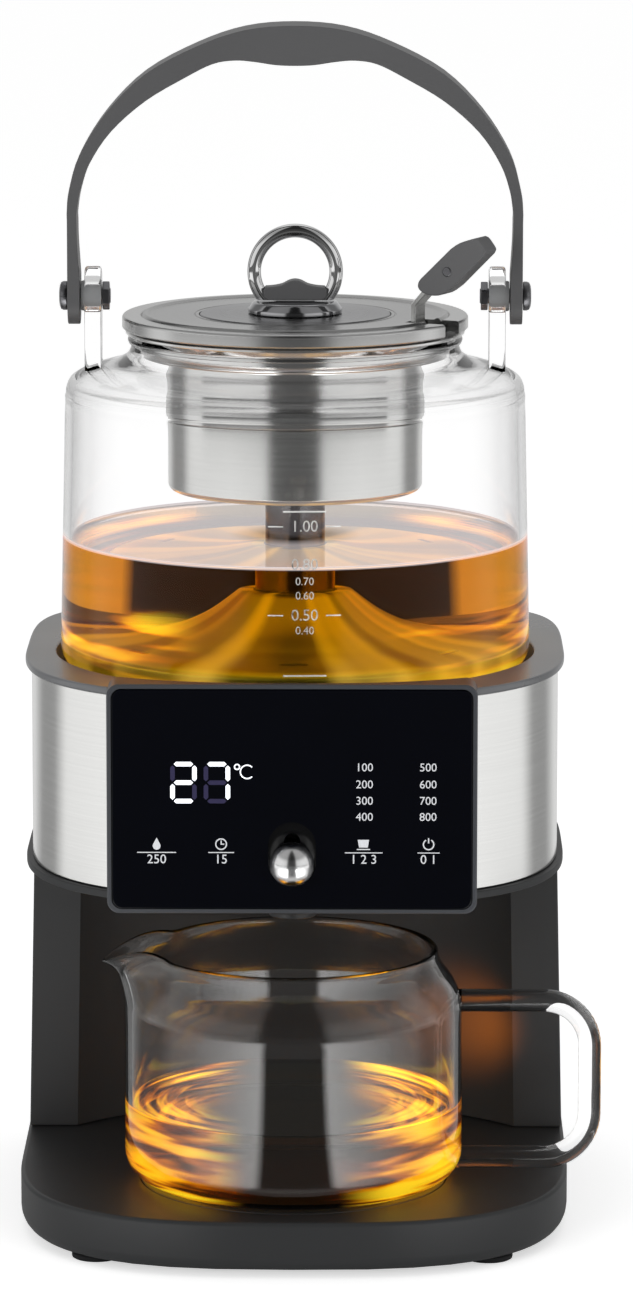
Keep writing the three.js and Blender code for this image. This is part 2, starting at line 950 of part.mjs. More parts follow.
function addHoses(pumpOutlet) {
  const spigotEnd = drainCupRadius + drainSpigotLength + fitGap;
  const tapSpigotZ = headInside + tapHeight / 2;
  const tapSpigotEnd = tapY + tapRadius + tapSpigotLength + fitGap;
  const drainMiddleY = (tapSpigotEnd - spigotEnd) / 2;
  piece(
    "drain_hose",
    hose(
      throughPoints([
        [0, -spigotEnd, drainSpigotZ],
        [0, -spigotEnd - hoseRadius, drainSpigotZ],
        [0, drainMiddleY, (drainSpigotZ + tapSpigotZ) / 2],
        [0, tapSpigotEnd + hoseRadius, tapSpigotZ],
        [0, tapSpigotEnd, tapSpigotZ],
      ]),
      hoseRadius,
      drainHoseSteps,
    ),
    materials.silicone,
  );
  const slant = Math.SQRT1_2;
  const joint = [-spigotEnd * slant, spigotEnd * slant];
  const before = [-(spigotEnd + hoseRadius) * slant, (spigotEnd + hoseRadius) * slant];
  piece(
    "supply_hose",
    hose(
      throughPoints([
        [pumpX, pumpY, pumpOutlet],
        [pumpX, pumpY, pumpOutlet + hoseRadius * 3],
        [pumpX, pumpY, undersideTop],
        [(pumpX + before[0]) / 2, (pumpY + before[1]) / 2, (undersideTop + drainSpigotZ) / 2],
        [before[0], before[1], drainSpigotZ],
        [joint[0], joint[1], drainSpigotZ],
      ]),
      hoseRadius,
      supplyHoseSteps,
    ),
    materials.silicone,
  );
}

// Control panel: a frame around a black glass, with the display behind the glass
function addPanel() {
  const glassBack = panelFrontY + glassPanelThickness;
  const outer = roundedRectangle(-panelHalfWidth, panelHalfWidth, panelBottom, panelTop, panelCorner);
  const inside = (wall) =>
    roundedRectangle(
      wall - panelHalfWidth,
      panelHalfWidth - wall,
      panelBottom + wall,
      panelTop - wall,
      panelCorner - wall / 2,
    );
  const surround = upright(outer, panelFrontY, panelFrontY + panelDepth);
  const rebate = upright(inside(frameEdge), panelFrontY - overrun, glassBack + fitGap);
  const bay = upright(inside(frameWall), panelFrontY - overrun, panelFrontY + panelDepth + overrun);
  // The frame's back follows the head's outline.
  const head = prism(plan(headPlan, -fitGap), panelBottom - overrun, panelTop + overrun);
  piece("panel_frame", cut(surround, rebate, bay, head), materials.panelFrame);

  const recess = obround(recessHalfWidth, recessBottom, recessTop);
  const sheet = upright(inside(frameEdge + fitGap), panelFrontY, glassBack);
  piece(
    "panel_glass",
    cut(sheet, upright(recess, panelFrontY - overrun, glassBack + overrun)),
    materials.panelGlass,
  );

  const ledFront = glassBack + fitGap;
  const ledBack = ledFront + ledDepth;
  piece(
    "digit_display",
    block(digitsLeft, digitsRight, ledFront, ledBack, digitsBottom, digitsTop),
    materials.digits,
  );

  const cupFront = glassBack + fitGap;
  const cupBack = cupFront + recessDepth;
  const cupOutline = (grow) =>
    obround(recessHalfWidth + grow, recessBottom - grow, recessTop + grow);
  const cupBody = upright(cupOutline(recessWall), cupFront, cupBack);
  const cupHollow = upright(cupOutline(0), cupFront - overrun, cupBack - recessWall);
  const travel = recessTop - recessBottom - 2 * ballRadius;
  const slot = upright(
    obround(stemRadius + 2 * fitGap, ballZ - stemRadius - 2 * fitGap, ballZ + stemRadius + travel / 2),
    cupFront - overrun,
    cupBack + overrun,
  );
  piece("lever_cup", cut(cupBody, cupHollow, slot), materials.chrome);

  const boardFront = ledBack + fitGap;
  const boardBack = boardFront + displayBoardDepth;
  const boardWidth = panelHalfWidth - frameWall - fitGap;
  piece(
    "display_board",
    cut(
      block(-boardWidth, boardWidth, boardFront, boardBack, displayBoardBottom, displayBoardTop),
      upright(cupOutline(recessWall + fitGap), boardFront - overrun, boardBack + overrun),
    ),
    materials.board,
  );
}

// Ball lever on its pivot, and the tap under its tail
function addLever() {
  const boreEnd = ballY + ballRadius - ballBoreDepth;
  const ball = new THREE.SphereGeometry(ballRadius, roundSteps, smallSteps);
  ball.translate(0, ballY, ballZ);
  const ballBore = depthPin(stemRadius + fitGap, boreEnd, ballY + ballRadius + overrun, 0, ballZ);
  piece("lever_ball", cut(solidFrom(ball), ballBore), materials.chrome);

  const pinHole = crossPin(
    pivotPinRadius + fitGap,
    -hubHalfWidth - overrun,
    hubHalfWidth + overrun,
    leverPivotY,
    ballZ,
  );
  piece(
    "lever_stem",
    cut(
      joined(
        depthPin(stemRadius, boreEnd + fitGap, leverTailY, 0, ballZ),
        crossPin(hubRadius, -hubHalfWidth, hubHalfWidth, leverPivotY, ballZ),
      ),
      pinHole,
    ),
    materials.steel,
  );
  const earInner = hubHalfWidth + fitGap;
  const earOuter = earInner + bracketEar;
  piece(
    "lever_pivot_pin",
    crossPin(pivotPinRadius, -earOuter, earOuter, leverPivotY, ballZ),
    materials.steel,
  );
  const bracketFront = leverPivotY - bracketHalfDepth + 2 * fitGap;
  const bracketBack = leverPivotY + bracketHalfDepth;
  const bracketTop = ballZ + bracketCrown;
  piece(
    "lever_bracket",
    cut(
      block(-earOuter, earOuter, bracketFront, bracketBack, headInside, bracketTop),
      block(
        -earInner,
        earInner,
        bracketFront - overrun,
        bracketBack + overrun,
        headInside + bracketFoot,
        bracketTop + overrun,
      ),
      pinHole,
    ),
    materials.charcoal,
  );
}

function addTap() {
  const tapTop = headInside + tapHeight;
  const seatTop = headInside + seatThickness;
  const spigotZ = headInside + tapHeight / 2;
  const rear = tapY + tapRadius;
  const body = lathe([
    [seatBore, headInside],
    [tapRadius, headInside],
    [tapRadius, tapTop],
    [plungerRadius + fitGap, tapTop],
    [plungerRadius + fitGap, tapTop - tapRoof],
    [tapBore, tapTop - tapRoof],
    [tapBore, seatTop],
    [seatBore, seatTop],
  ]).translate([0, tapY, 0]);
  const spigot = depthPin(tapSpigotRadius, rear - (tapRadius - tapBore), rear + tapSpigotLength, 0, spigotZ);
  const spigotHole = depthPin(
    tapSpigotBore,
    tapY + tapBore / 2,
    rear + tapSpigotLength + overrun,
    0,
    spigotZ,
  );
  piece("tap_body", cut(joined(body, spigot), spigotHole), materials.silicone);

  const discTop = headInside - plungerPlay;
  const rodTop = ballZ - stemRadius - fitGap;
  piece(
    "tap_plunger",
    onAxis([
      [0, discTop - plungerDiscThickness],
      [plungerDiscRadius, discTop - plungerDiscThickness],
      [plungerDiscRadius, discTop],
      [plungerRadius, discTop],
      [plungerRadius, rodTop - plungerRadius],
      [plungerRadius / 2, rodTop],
      [0, rodTop],
    ], roundSteps).translate([0, tapY, 0]),
    materials.silicone,
  );

  const nozzleBottom = undersideBottom - nozzleDrop;
  const nozzleTop = headInside - fitGap;
  piece(
    "outlet_nozzle",
    lathe([
      [nozzleBore - nozzleLip, nozzleBottom],
      [nozzleRadius - nozzleLip, nozzleBottom],
      [nozzleRadius, nozzleBottom + nozzleLip],
      [nozzleRadius, nozzleTop],
      [nozzleBore, nozzleTop],
      [nozzleBore, nozzleBottom + 2 * nozzleLip],
    ], roundSteps).translate([0, tapY, 0]),
    materials.charcoal,
  );
}

// Kettle glass with its two ears
function kettleProfile() {
  const bendCentre = kettleRadius - kettleCornerRound;
  const bendZ = kettleBottom + kettleCornerRound;
  const outer = [
    [valveHoleRadius, kettleBottom],
    ...arc(bendCentre, bendZ, kettleCornerRound, -90, 0, 4),
    [kettleUpperRadius, kettleWallTop],
    [shoulderRadius, shoulderZ - kettleWall / 2],
    [shoulderRadius - kettleWall / 2, shoulderZ + kettleWall / 4],
    [(2 * shoulderRadius + neckRadius) / 3, (2 * shoulderZ + neckFootZ) / 3 + kettleWall / 2],
    [(shoulderRadius + 2 * neckRadius) / 3, (shoulderZ + 2 * neckFootZ) / 3 + kettleWall / 3],
    [neckRadius + kettleWall / 3, neckFootZ],
    [neckRadius, neckFootZ + kettleWall / 3],
  ];
  const lip = [
    [neckRadius, lipTop - lipHeight],
    [lipRadius, lipTop - lipHeight + lipRadius - neckRadius],
    [lipRadius, lipTop - kettleWall / 4],
    [lipRadius - kettleWall / 4, lipTop],
    [neckRadius - kettleWall, lipTop],
  ];
  const inner = [
    [neckRadius - kettleWall, neckFootZ - kettleWall / 2],
    [(shoulderRadius + 2 * neckRadius) / 3, (shoulderZ + 2 * neckFootZ) / 3 - 0.7 * kettleWall],
    [(2 * shoulderRadius + neckRadius) / 3, (2 * shoulderZ + neckFootZ) / 3 - kettleWall / 2],
    [shoulderRadius - kettleWall, shoulderZ - 1.2 * kettleWall],
    [kettleUpperRadius - kettleWall, kettleWallTop],
    ...arc(bendCentre, bendZ, kettleCornerRound - kettleWall, 0, -90, 4),
    [valveHoleRadius, kettleFloor],
  ];
  return [...outer, ...lip, ...inner];
}

function addKettle() {
  const vessel = lathe(kettleProfile(), wideSteps);
  const inside = post(lipRadius - kettleWall, 0, 0, kettleFloor, lipTop + overrun, middleSteps);
  const earArcZ = earTop - earHalfDepth;
  const earShape = [
    [earHalfDepth, earFootZ],
    ...arc(0, earArcZ, earHalfDepth, 0, 180, 8),
    [-earHalfDepth, earFootZ],
  ];
  let glass = vessel;
  for (const side of [-1, 1]) {
    const faces = [side * earCentreX - earThickness / 2, side * earCentreX + earThickness / 2];
    const ear = sideways(earShape, faces[0], faces[1]);
    const hole = crossPin(
      sleeveRadius + fitGap,
      faces[0] - overrun,
      faces[1] + overrun,
      0,
      pivotZ,
      roundSteps,
    );
    glass = joined(glass, cut(ear, hole, inside));
  }
  piece("kettle_glass", glass, materials.glass);

  const neck = valveHoleRadius - fitGap;
  const flangeBottom = kettleFloor + fitGap;
  const flangeTop = flangeBottom + valveFlangeThickness;
  const nutTop = kettleBottom - fitGap;
  piece(
    "kettle_valve_body",
    lathe([
      [valveBore, nutTop - valveNutThickness],
      [valveNutRadius, nutTop - valveNutThickness],
      [valveNutRadius, nutTop],
      [neck, nutTop],
      [neck, flangeBottom],
      [valveFlangeRadius, flangeBottom],
      [valveFlangeRadius, flangeTop],
      [valveBore + fitGap, flangeTop],
      [valveBore, flangeTop - fitGap],
    ]),
    materials.steel,
  );
  const poppetUnder = flangeTop + fitGap + poppetLift;
  const pinTop = kettleBottom + seatPinProud;
  piece(
    "valve_poppet",
    onAxis([
      [0, pinTop + fitGap],
      [poppetStemRadius, pinTop + fitGap],
      [poppetStemRadius, poppetUnder],
      [poppetRadius, poppetUnder],
      [poppetRadius, poppetUnder + poppetThickness],
      [0, poppetUnder + poppetThickness],
    ], roundSteps),
    materials.silicone,
  );
}

// Percolator cone standing on the kettle floor, and the riser tube through its top
function addCone() {
  const top = [
    [tubeRadius + fitGap, coneTopZ + sheetWall],
    [tubeRadius + fitGap, coneTopZ],
  ];
  // Radius and height of the flare, as shares of the way from the brim to the top.
  const flareShares = [
    [0.93, 0.07],
    [0.76, 0.14],
    [0.57, 0.21],
    [0.43, 0.32],
    [0.285, 0.45],
    [0.143, 0.67],
    [0, 1],
  ];
  const flare = (lift) =>
    flareShares.map(([out, up]) => [
      coneTopRadius + out * (coneBrimRadius - coneTopRadius),
      coneBrimZ + up * (coneTopZ - coneBrimZ) + lift,
    ]);
  const skirtBottom = kettleFloor + fitGap;
  const profile = [
    [coneBrimRadius - sheetWall, skirtBottom],
    [coneBrimRadius, skirtBottom],
    [coneBrimRadius, coneBrimZ + sheetWall],
    ...flare(sheetWall),
    ...top,
    ...flare(0).reverse(),
    [coneBrimRadius - sheetWall, coneBrimZ],
  ];
  let cone = lathe(profile, ringSteps);
  for (let i = 0; i < coneSlotCount; i += 1) {
    const slot = block(
      coneSlotRadius - coneSlotWidth / 2,
      coneSlotRadius + coneSlotWidth / 2,
      -coneSlotLength / 2,
      coneSlotLength / 2,
      coneBrimZ - overrun,
      coneTopZ,
    );
    cone = cut(cone, slot.rotate([0, 0, (360 * (i + 0.5)) / coneSlotCount]));
  }
  piece("pump_cone", cone, materials.steel);
  piece(
    "riser_tube",
    lathe([
      [tubeRadius - sheetWall, tubeBottom],
      [tubeRadius, tubeBottom],
      [tubeRadius, tubeTop],
      [tubeRadius - sheetWall, tubeTop],
    ]),
    materials.steel,
  );
}

// Bolt, sleeve and nut that carry the bail at each ear
function addPivot(sideName, side) {
  const armInner = bailArmCentreX - bailArmThickness / 2;
  const armOuter = bailArmCentreX + bailArmThickness / 2;
  const earInner = earCentreX - earThickness / 2;
  const headInner = armOuter + fitGap;
  const nutOuter = earInner - fitGap;
  const nutInner = nutOuter - nutThickness;
  const along = (radius, from, to, steps) =>
    side > 0
      ? crossPin(radius, from, to, 0, pivotZ, steps)
      : crossPin(radius, -to, -from, 0, pivotZ, steps);
  piece(
    `pivot_bolt_${sideName}`,
    joined(
      along(boltRadius, nutInner - fitGap, headInner + fitGap, smallSteps),
      along(boltHeadRadius, headInner, headInner + boltHeadThickness, roundSteps),
    ),
    materials.darkSteel,
  );
  piece(
    `pivot_sleeve_${sideName}`,
    cut(
      along(sleeveRadius, earInner, armInner - fitGap, roundSteps),
      along(boltRadius + fitGap, earInner - overrun, armInner + overrun, smallSteps),
    ),
    materials.rubber,
  );
  piece(
    `pivot_nut_${sideName}`,
    cut(
      along(boltHeadRadius, nutInner, nutOuter, 6),
      along(boltRadius + fitGap, nutInner - overrun, nutOuter + overrun, smallSteps),
    ),
    materials.darkSteel,
  );
}

// Bail: an arch seen from the front, narrowed towards its ends as seen from the side
function addBail() {
  const armOuter = bailArmCentreX + bailArmThickness / 2;
  const armInner = bailArmCentreX - bailArmThickness / 2;
  const rise = bailTop - bailStraightTop;
  // Half width and height of the arch, as shares of the arm's reach and of the rise.
  const outerShares = [
    [1.01, 0.06],
    [0.995, 0.165],
    [0.943, 0.345],
    [0.825, 0.56],
    [0.654, 0.755],
    [0.426, 0.897],
    [0.217, 0.978],
    [0, 1],
  ];
  const innerBase = bailTop - bailGripThickness - bailStraightTop;
  const innerShares = [
    [1.012, 0.06],
    [0.985, 0.2],
    [0.95, 0.375],
    [0.85, 0.58],
    [0.69, 0.775],
    [0.505, 0.925],
    [0.38, 1.01],
    [0.28, 1.033],
    [0.19, 1.025],
    [0.09, 1.005],
    [0, 1],
  ];
  const outer = outerShares.map(([out, up]) => [out * armOuter, bailStraightTop + up * rise]);
  const inner = innerShares.map(([out, up]) => [out * armInner, bailStraightTop + up * innerBase]);
  const mirrored = (points) => points.slice(0, -1).reverse().map(([x, z]) => [-x, z]);
  const front = [
    [armOuter, bailEndZ],
    ...outer,
    ...mirrored(outer),
    [-armOuter, bailEndZ],
    [-armInner, bailEndZ],
    ...mirrored(inner).reverse(),
    ...[...inner].reverse(),
    [armInner, bailEndZ],
  ];
  const side = [
    ...arc(0, bailEndZ + bailArmHalfDepth, bailArmHalfDepth, 180, 360, 8),
    [bailArmHalfDepth, bailStraightTop],
    [bailGripHalfDepth, bailTop - bailGripThickness],
    [bailGripHalfDepth, bailTop + overrun],
    [-bailGripHalfDepth, bailTop + overrun],
    [-bailGripHalfDepth, bailTop - bailGripThickness],
    [-bailArmHalfDepth, bailStraightTop],
  ];
  const arch = upright(front, -bailGripHalfDepth - overrun, bailGripHalfDepth + overrun);
  const width = sideways(side, -armOuter - overrun, armOuter + overrun);
  const holes = crossPin(boltRadius + fitGap, -armOuter - overrun, armOuter + overrun, 0, pivotZ);
  piece("bail_handle", cut(arch.intersect(width), holes), materials.handle);
}

// Infuser basket: a cup on a bayonet under a rim that hangs on the kettle lip
function addBasket() {
  const chimneyRadius = tubeRadius + chimneyClearance;
  const seamTop = seamZ + fitGap;
  const spigotRadius = cupRadius - sheetWall - fitGap;
  const floorTop = cupBottom + sheetWall;
  let cup = lathe([
    [chimneyRadius, cupBottom],
    [cupRadius - cupCorner, cupBottom],
    [cupRadius, cupBottom + cupCorner],
    [cupRadius, seamZ],
    [spigotRadius, seamZ],
    [spigotRadius, seamTop + cupSpigotHeight],
    [spigotRadius - sheetWall, seamTop + cupSpigotHeight],
    [spigotRadius - sheetWall, seamZ - sheetWall],
    [cupRadius - sheetWall, seamZ - 2 * sheetWall],
    [cupRadius - sheetWall, floorTop + cupCorner - sheetWall / 2],
    [cupRadius - cupCorner - sheetWall / 2, floorTop],
    [chimneyRadius + sheetWall, floorTop],
    [chimneyRadius + sheetWall, cupBottom + chimneyHeight],
    [chimneyRadius, cupBottom + chimneyHeight],
  ], ringSteps);
  for (let i = 0; i < drainHoleCount; i += 1) {
    const holeTop = floorTop + sheetWall;
    const hole = post(drainHoleRadius, drainHoleReach, 0, cupBottom - overrun, holeTop, hoseSides);
    cup = cut(cup, hole.rotate([0, 0, (360 * i) / drainHoleCount]));
  }
  piece("basket_cup", cup, materials.brushedSteel);

  const flangeBottom = lipTop + fitGap;
  const flangeTop = flangeBottom + rimFlangeThickness;
  const ringRadius = cupRadius + fitGap;
  const ringTop = shelfZ - shelfRise - sheetWall;
  piece(
    "basket_rim",
    lathe([
      [ringRadius - sheetWall, seamTop],
      [ringRadius, seamTop],
      [ringRadius, ringTop],
      [funnelRadius - shelfRise, shelfZ - sheetWall],
      [funnelRadius, shelfZ + sheetWall],
      [funnelRadius, flangeBottom],
      [rimFlangeRadius, flangeBottom],
      [rimFlangeRadius, flangeTop],
      [funnelRadius - sheetWall, flangeTop],
      [funnelRadius - sheetWall, shelfZ + 1.5 * sheetWall],
      [funnelRadius - shelfRise - sheetWall, shelfZ],
      [ringRadius - sheetWall, ringTop + sheetWall],
    ], ringSteps),
    materials.steel,
  );
  addBasketHandle();
}

// The strip stands on the shelf of the rim, passes the notch of the lid and carries the grip
function addBasketHandle() {
  const turn = [0, 0, THREE.MathUtils.radToDeg(handleAzimuth)];
  const [slantR, slantZ] = [stripEndReach - stripReach, stripEndZ - stripKneeZ];
  const slantLength = Math.hypot(slantR, slantZ);
  const [dirR, dirZ] = [slantR / slantLength, slantZ / slantLength];
  const stripOutline = (grow) => {
    const half = stripThickness / 2 + grow;
    const knee = half * Math.tan(Math.atan2(dirR, dirZ) / 2);
    const [endR, endZ] = [stripEndReach + grow * dirR, stripEndZ + grow * dirZ];
    return [
      [stripReach - half, shelfZ + fitGap],
      [stripReach + half, shelfZ + fitGap],
      [stripReach + half, stripKneeZ - knee],
      [endR + half * dirZ, endZ - half * dirR],
      [endR - half * dirZ, endZ + half * dirR],
      [stripReach - half, stripKneeZ + knee],
    ];
  };
  const across = (outline, width) => upright(outline, -width / 2, width / 2);
  const strip = across(stripOutline(0), stripWidth);

  const [runX, runZ] = [gripEndReach - gripStartReach, gripEndZ - gripStartZ];
  const length = Math.hypot(runX, runZ);
  const [alongX, alongZ] = [runX / length, runZ / length];
  const at = (along, up) => [
    gripStartReach + along * length * alongX - up * gripThickness * alongZ,
    gripStartZ + along * length * alongZ + up * gripThickness * alongX,
  ];
  // Corners of the grip as shares of its length and of its thickness.
  const gripShares = [
    [0, -0.1],
    [0.1, -0.42],
    [0.36, -0.5],
    [0.94, -0.42],
    [1, -0.2],
    [0.96, 0.3],
    [0.85, 0.5],
    [0.5, 0.48],
    [0.02, 0.16],
  ];
  const gripOutline = gripShares.map(([along, up]) => at(along, up));
  const pocket = across(stripOutline(fitGap), stripWidth + 2 * fitGap);
  const rivetAt = at(rivetShare, 0);
  const rivetHole = depthPin(rivetRadius + fitGap, -gripWidth, gripWidth, rivetAt[0], rivetAt[1]);
  const grip = cut(across(gripOutline, gripWidth), pocket, rivetHole);
  const rivetHalf = gripWidth / 2 + fitGap;
  const rivet = depthPin(rivetRadius, -rivetHalf, rivetHalf, rivetAt[0], rivetAt[1]);
  piece("basket_handle_strip", strip.rotate(turn), materials.darkSteel);
  piece("basket_grip", grip.rotate(turn), materials.grip);
  piece("grip_rivet", rivet.rotate(turn), materials.steel);
}

// Lid with a notch for the basket handle, and the ring knob on it
function addLid() {
  const lidBottom = lipTop + rimFlangeThickness + 3 * fitGap;
  const lidTop = lidBottom + lidHeight;
  const webTop = lidTop - centreDiscThickness;
  const webBottom = webTop - lidWebThickness;
  const discHole = centreDiscRadius + fitGap;
  const skirtInner = lidSkirtRadius - sheetWall;
  const notch = block(
    notchStart,
    lidRadius + overrun,
    -notchWidth / 2,
    notchWidth / 2,
    lidBottom - 2 * overrun,
    lidTop + overrun,
  ).rotate([0, 0, THREE.MathUtils.radToDeg(handleAzimuth)]);
  const plate = onAxis([
    [0, webBottom],
    [skirtInner, webBottom],
    [skirtInner, lidBottom - lidSkirtDepth],
    [lidSkirtRadius, lidBottom - lidSkirtDepth],
    [lidSkirtRadius, lidBottom + sheetWall],
    [rimFlangeRadius - sheetWall, lidBottom + sheetWall],
    [rimFlangeRadius, lidBottom],
    [lidRadius - sheetWall / 2, lidBottom],
    [lidRadius, lidBottom + sheetWall / 2],
    [lidRadius, lidTop - sheetWall],
    [lidRadius - sheetWall, lidTop],
    [lidBeadRadius + 2 * sheetWall, lidTop],
    [lidBeadRadius + sheetWall, lidTop - lidBeadHeight],
    [lidBeadRadius, lidTop + lidBeadHeight],
    [lidBeadRadius - 2 * sheetWall, lidTop],
    [discHole, lidTop],
    [discHole, webTop],
    [0, webTop],
  ], wideSteps);
  piece("lid_plate", cut(plate, notch), materials.brushedSteel);

  const sealTop = lidBottom + sheetWall - fitGap;
  const sealInner = lidSkirtRadius + fitGap;
  const seal = lathe([
    [sealInner, sealTop - gasketHeight],
    [sealInner + gasketThickness, sealTop - gasketHeight + gasketThickness],
    [sealInner + gasketThickness, sealTop],
    [sealInner, sealTop],
  ], wideSteps);
  piece("lid_gasket", cut(seal, notch), materials.silicone);

  const discBottom = webTop + fitGap;
  const discTop = discBottom + centreDiscThickness;
  piece(
    "lid_disc",
    post(centreDiscRadius, 0, 0, discBottom, discTop, ringSteps),
    materials.darkSteel,
  );

  const footBottom = discTop + fitGap;
  const footTop = footBottom + knobFootHeight;
  piece(
    "knob_foot",
    onAxis([
      [0, footBottom],
      [knobFootRadius, footBottom],
      [knobFootRadius, footBottom + knobFootHeight / 4],
      [0.85 * knobFootRadius, footTop - knobFootHeight / 5],
      [0.7 * knobFootRadius, footTop],
      [0, footTop],
    ]),
    materials.chrome,
  );

  const seatZ = footTop + fitGap;
  const ringZ = footTop + knobRingRise;
  const hoop = (tube) => {
    const geometry = new THREE.TorusGeometry(knobRingRadius, tube, smallSteps, ringSteps);
    geometry.rotateX(Math.PI / 2);
    geometry.translate(0, 0, ringZ);
    return solidFrom(geometry);
  };
  const above = block(
    -knobRingRadius * 2,
    knobRingRadius * 2,
    -knobFootRadius,
    knobFootRadius,
    seatZ,
    ringZ + knobRingRadius * 2,
  );
  piece("knob_ring", hoop(knobRingTube).intersect(above), materials.chrome);

  const saddleTop = seatZ + saddleHeight;
  const bumpRadius = saddleHalfWidth / 3;
  const bumpZ = saddleTop + saddleBump - bumpRadius;
  const saddle = joined(
    block(-saddleHalfWidth, saddleHalfWidth, -saddleHalfDepth, saddleHalfDepth, seatZ, saddleTop),
    depthPin(bumpRadius, -saddleHalfDepth, saddleHalfDepth, 0, bumpZ),
  );
  const pieces = cut(saddle, hoop(knobRingTube + fitGap)).decompose();
  piece("knob_saddle", pieces.sort((a, b) => b.volume() - a.volume())[0], materials.grip);
}

// Carafe: a blown vessel whose rim is drawn out to a spout at -X, with a rod handle at +X
function addCarafe() {
  const bottom = carafeBottom;
  const bend = carafeCornerRound;
  const shoulderRun = carafeRimZ - carafeShoulderZ;
  const shoulderIn = carafeRadius - carafeRimRadius;
  // The shoulder from the wall to the rim, as shares of its run in and up.
  const shoulderShares = [
    [0, 0],
    [0.12, 0.22],
    [0.4, 0.45],
    [0.72, 0.64],
    [0.93, 0.8],
    [1, 0.93],
  ];
  const shoulder = (inset) =>
    shoulderShares.map(([inwards, up]) => [
      carafeRadius - inset - inwards * shoulderIn,
      carafeShoulderZ + up * shoulderRun,
    ]);
  const profile = [
    [0, bottom],
    ...arc(carafeRadius - bend, bottom + bend, bend, -90, 0, 4),
    ...shoulder(0),
    [carafeRimRadius - carafeWall / 3, carafeRimZ],
    [carafeRimRadius - (2 * carafeWall) / 3, carafeRimZ],
    ...shoulder(carafeWall).reverse(),
    ...arc(carafeRadius - bend, bottom + bend, bend - carafeWall, 0, -60, 3),
    [0, bottom + carafeFloorThickness],
  ];
  const points = profile.map(([r, z]) => new THREE.Vector2(r, z));
  const geometry = new THREE.LatheGeometry(points, carafeSteps);
  geometry.rotateX(Math.PI / 2);
  drawSpout(geometry);
  const vessel = solidFrom(geometry);

  const reach = carafeHandleReach - handleRodRadius;
  const start = carafeRadius - carafeWall / 2;
  const path = new THREE.CurvePath();
  const [topLeft, topRight] = [
    new THREE.Vector3(start, 0, handleTopZ),
    new THREE.Vector3(reach - handleCorner, 0, handleTopZ),
  ];
  const upper = new THREE.Vector3(reach, 0, handleTopZ - handleCorner);
  const lower = new THREE.Vector3(reach, 0, handleBottomZ + handleCorner);
  const bottomRight = new THREE.Vector3(reach - handleCorner, 0, handleBottomZ);
  const bottomLeft = new THREE.Vector3(start - carafeWall, 0, handleBottomZ);
  const bulge = handleCorner * handleBulgeShare;
  path.add(new THREE.LineCurve3(topLeft, topRight));
  path.add(new THREE.QuadraticBezierCurve3(
    topRight,
    new THREE.Vector3(reach - bulge, 0, handleTopZ - bulge),
    upper,
  ));
  path.add(new THREE.LineCurve3(upper, lower));
  path.add(new THREE.QuadraticBezierCurve3(
    lower,
    new THREE.Vector3(reach - bulge, 0, handleBottomZ + bulge),
    bottomRight,
  ));
  path.add(new THREE.LineCurve3(bottomRight, bottomLeft));
  const rod = hose(path, handleRodRadius, ringSteps, smallSteps);
  // The lower end of the rod is trimmed to the outside of the vessel's wall.
  const core = onAxis([
    [0, bottom],
    [carafeRadius - bend - carafeWall / 2, bottom],
    ...arc(carafeRadius - bend, bottom + bend, bend - carafeWall / 2, -60, 0, 4),
    [carafeRadius - carafeWall / 2, carafeShoulderZ],
    [carafeRadius - carafeWall / 2, carafeRimZ],
    [0, carafeRimZ],
  ]);
  const carafe = joined(vessel, cut(rod, core)).translate([0, carafeCentreY, 0]);
  piece("carafe_glass", carafe, materials.glass);
}

function drawSpout(geometry) {
  const places = geometry.attributes.position;
  for (let i = 0; i < places.count; i += 1) {
    const [x, y, z] = [places.getX(i), places.getY(i), places.getZ(i)];
    const away = Math.abs(Math.atan2(y, -x)) / spoutHalfAngle;
    const up = (z - carafeShoulderZ) / (carafeRimZ - carafeShoulderZ);
    if (away >= 1 || up <= 0) continue;
    const centre = 0.5 + 0.5 * Math.cos(Math.PI * away);
    const side = Math.sin(Math.PI * away) ** 2;
    const draw = Math.min(up, 1) ** 1.6;
    places.setX(i, x - spoutReach * centre ** 1.5 * draw);
    places.setZ(i, z - draw * (spoutDip * centre ** 2 - spoutDip * spoutSideShare * side));
  }
}

addBase();
const { pumpOutlet } = addColumn();
addHead();
addWell();
addHoses(pumpOutlet);
addPanel();
addLever();
addTap();
addKettle();
addCone();
addPivot("left", -1);
addPivot("right", 1);
addBail();
addBasket();
addLid();
addCarafe();

// The origin is on the table, under the middle of everything that stands there.
const leftReach = baseHalfWidth;
const rightReach = carafeHandleReach;
const frontReach = baseFrontReach - baseCentreY;
const backReach = baseBackReach + baseCentreY;
brewer.position.set((leftReach - rightReach) / 2, (frontReach - backReach) / 2, 0);

export default brewer;
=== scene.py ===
"""A tea and coffee brewer with a percolating kettle, a brewing head and a carafe."""

import math

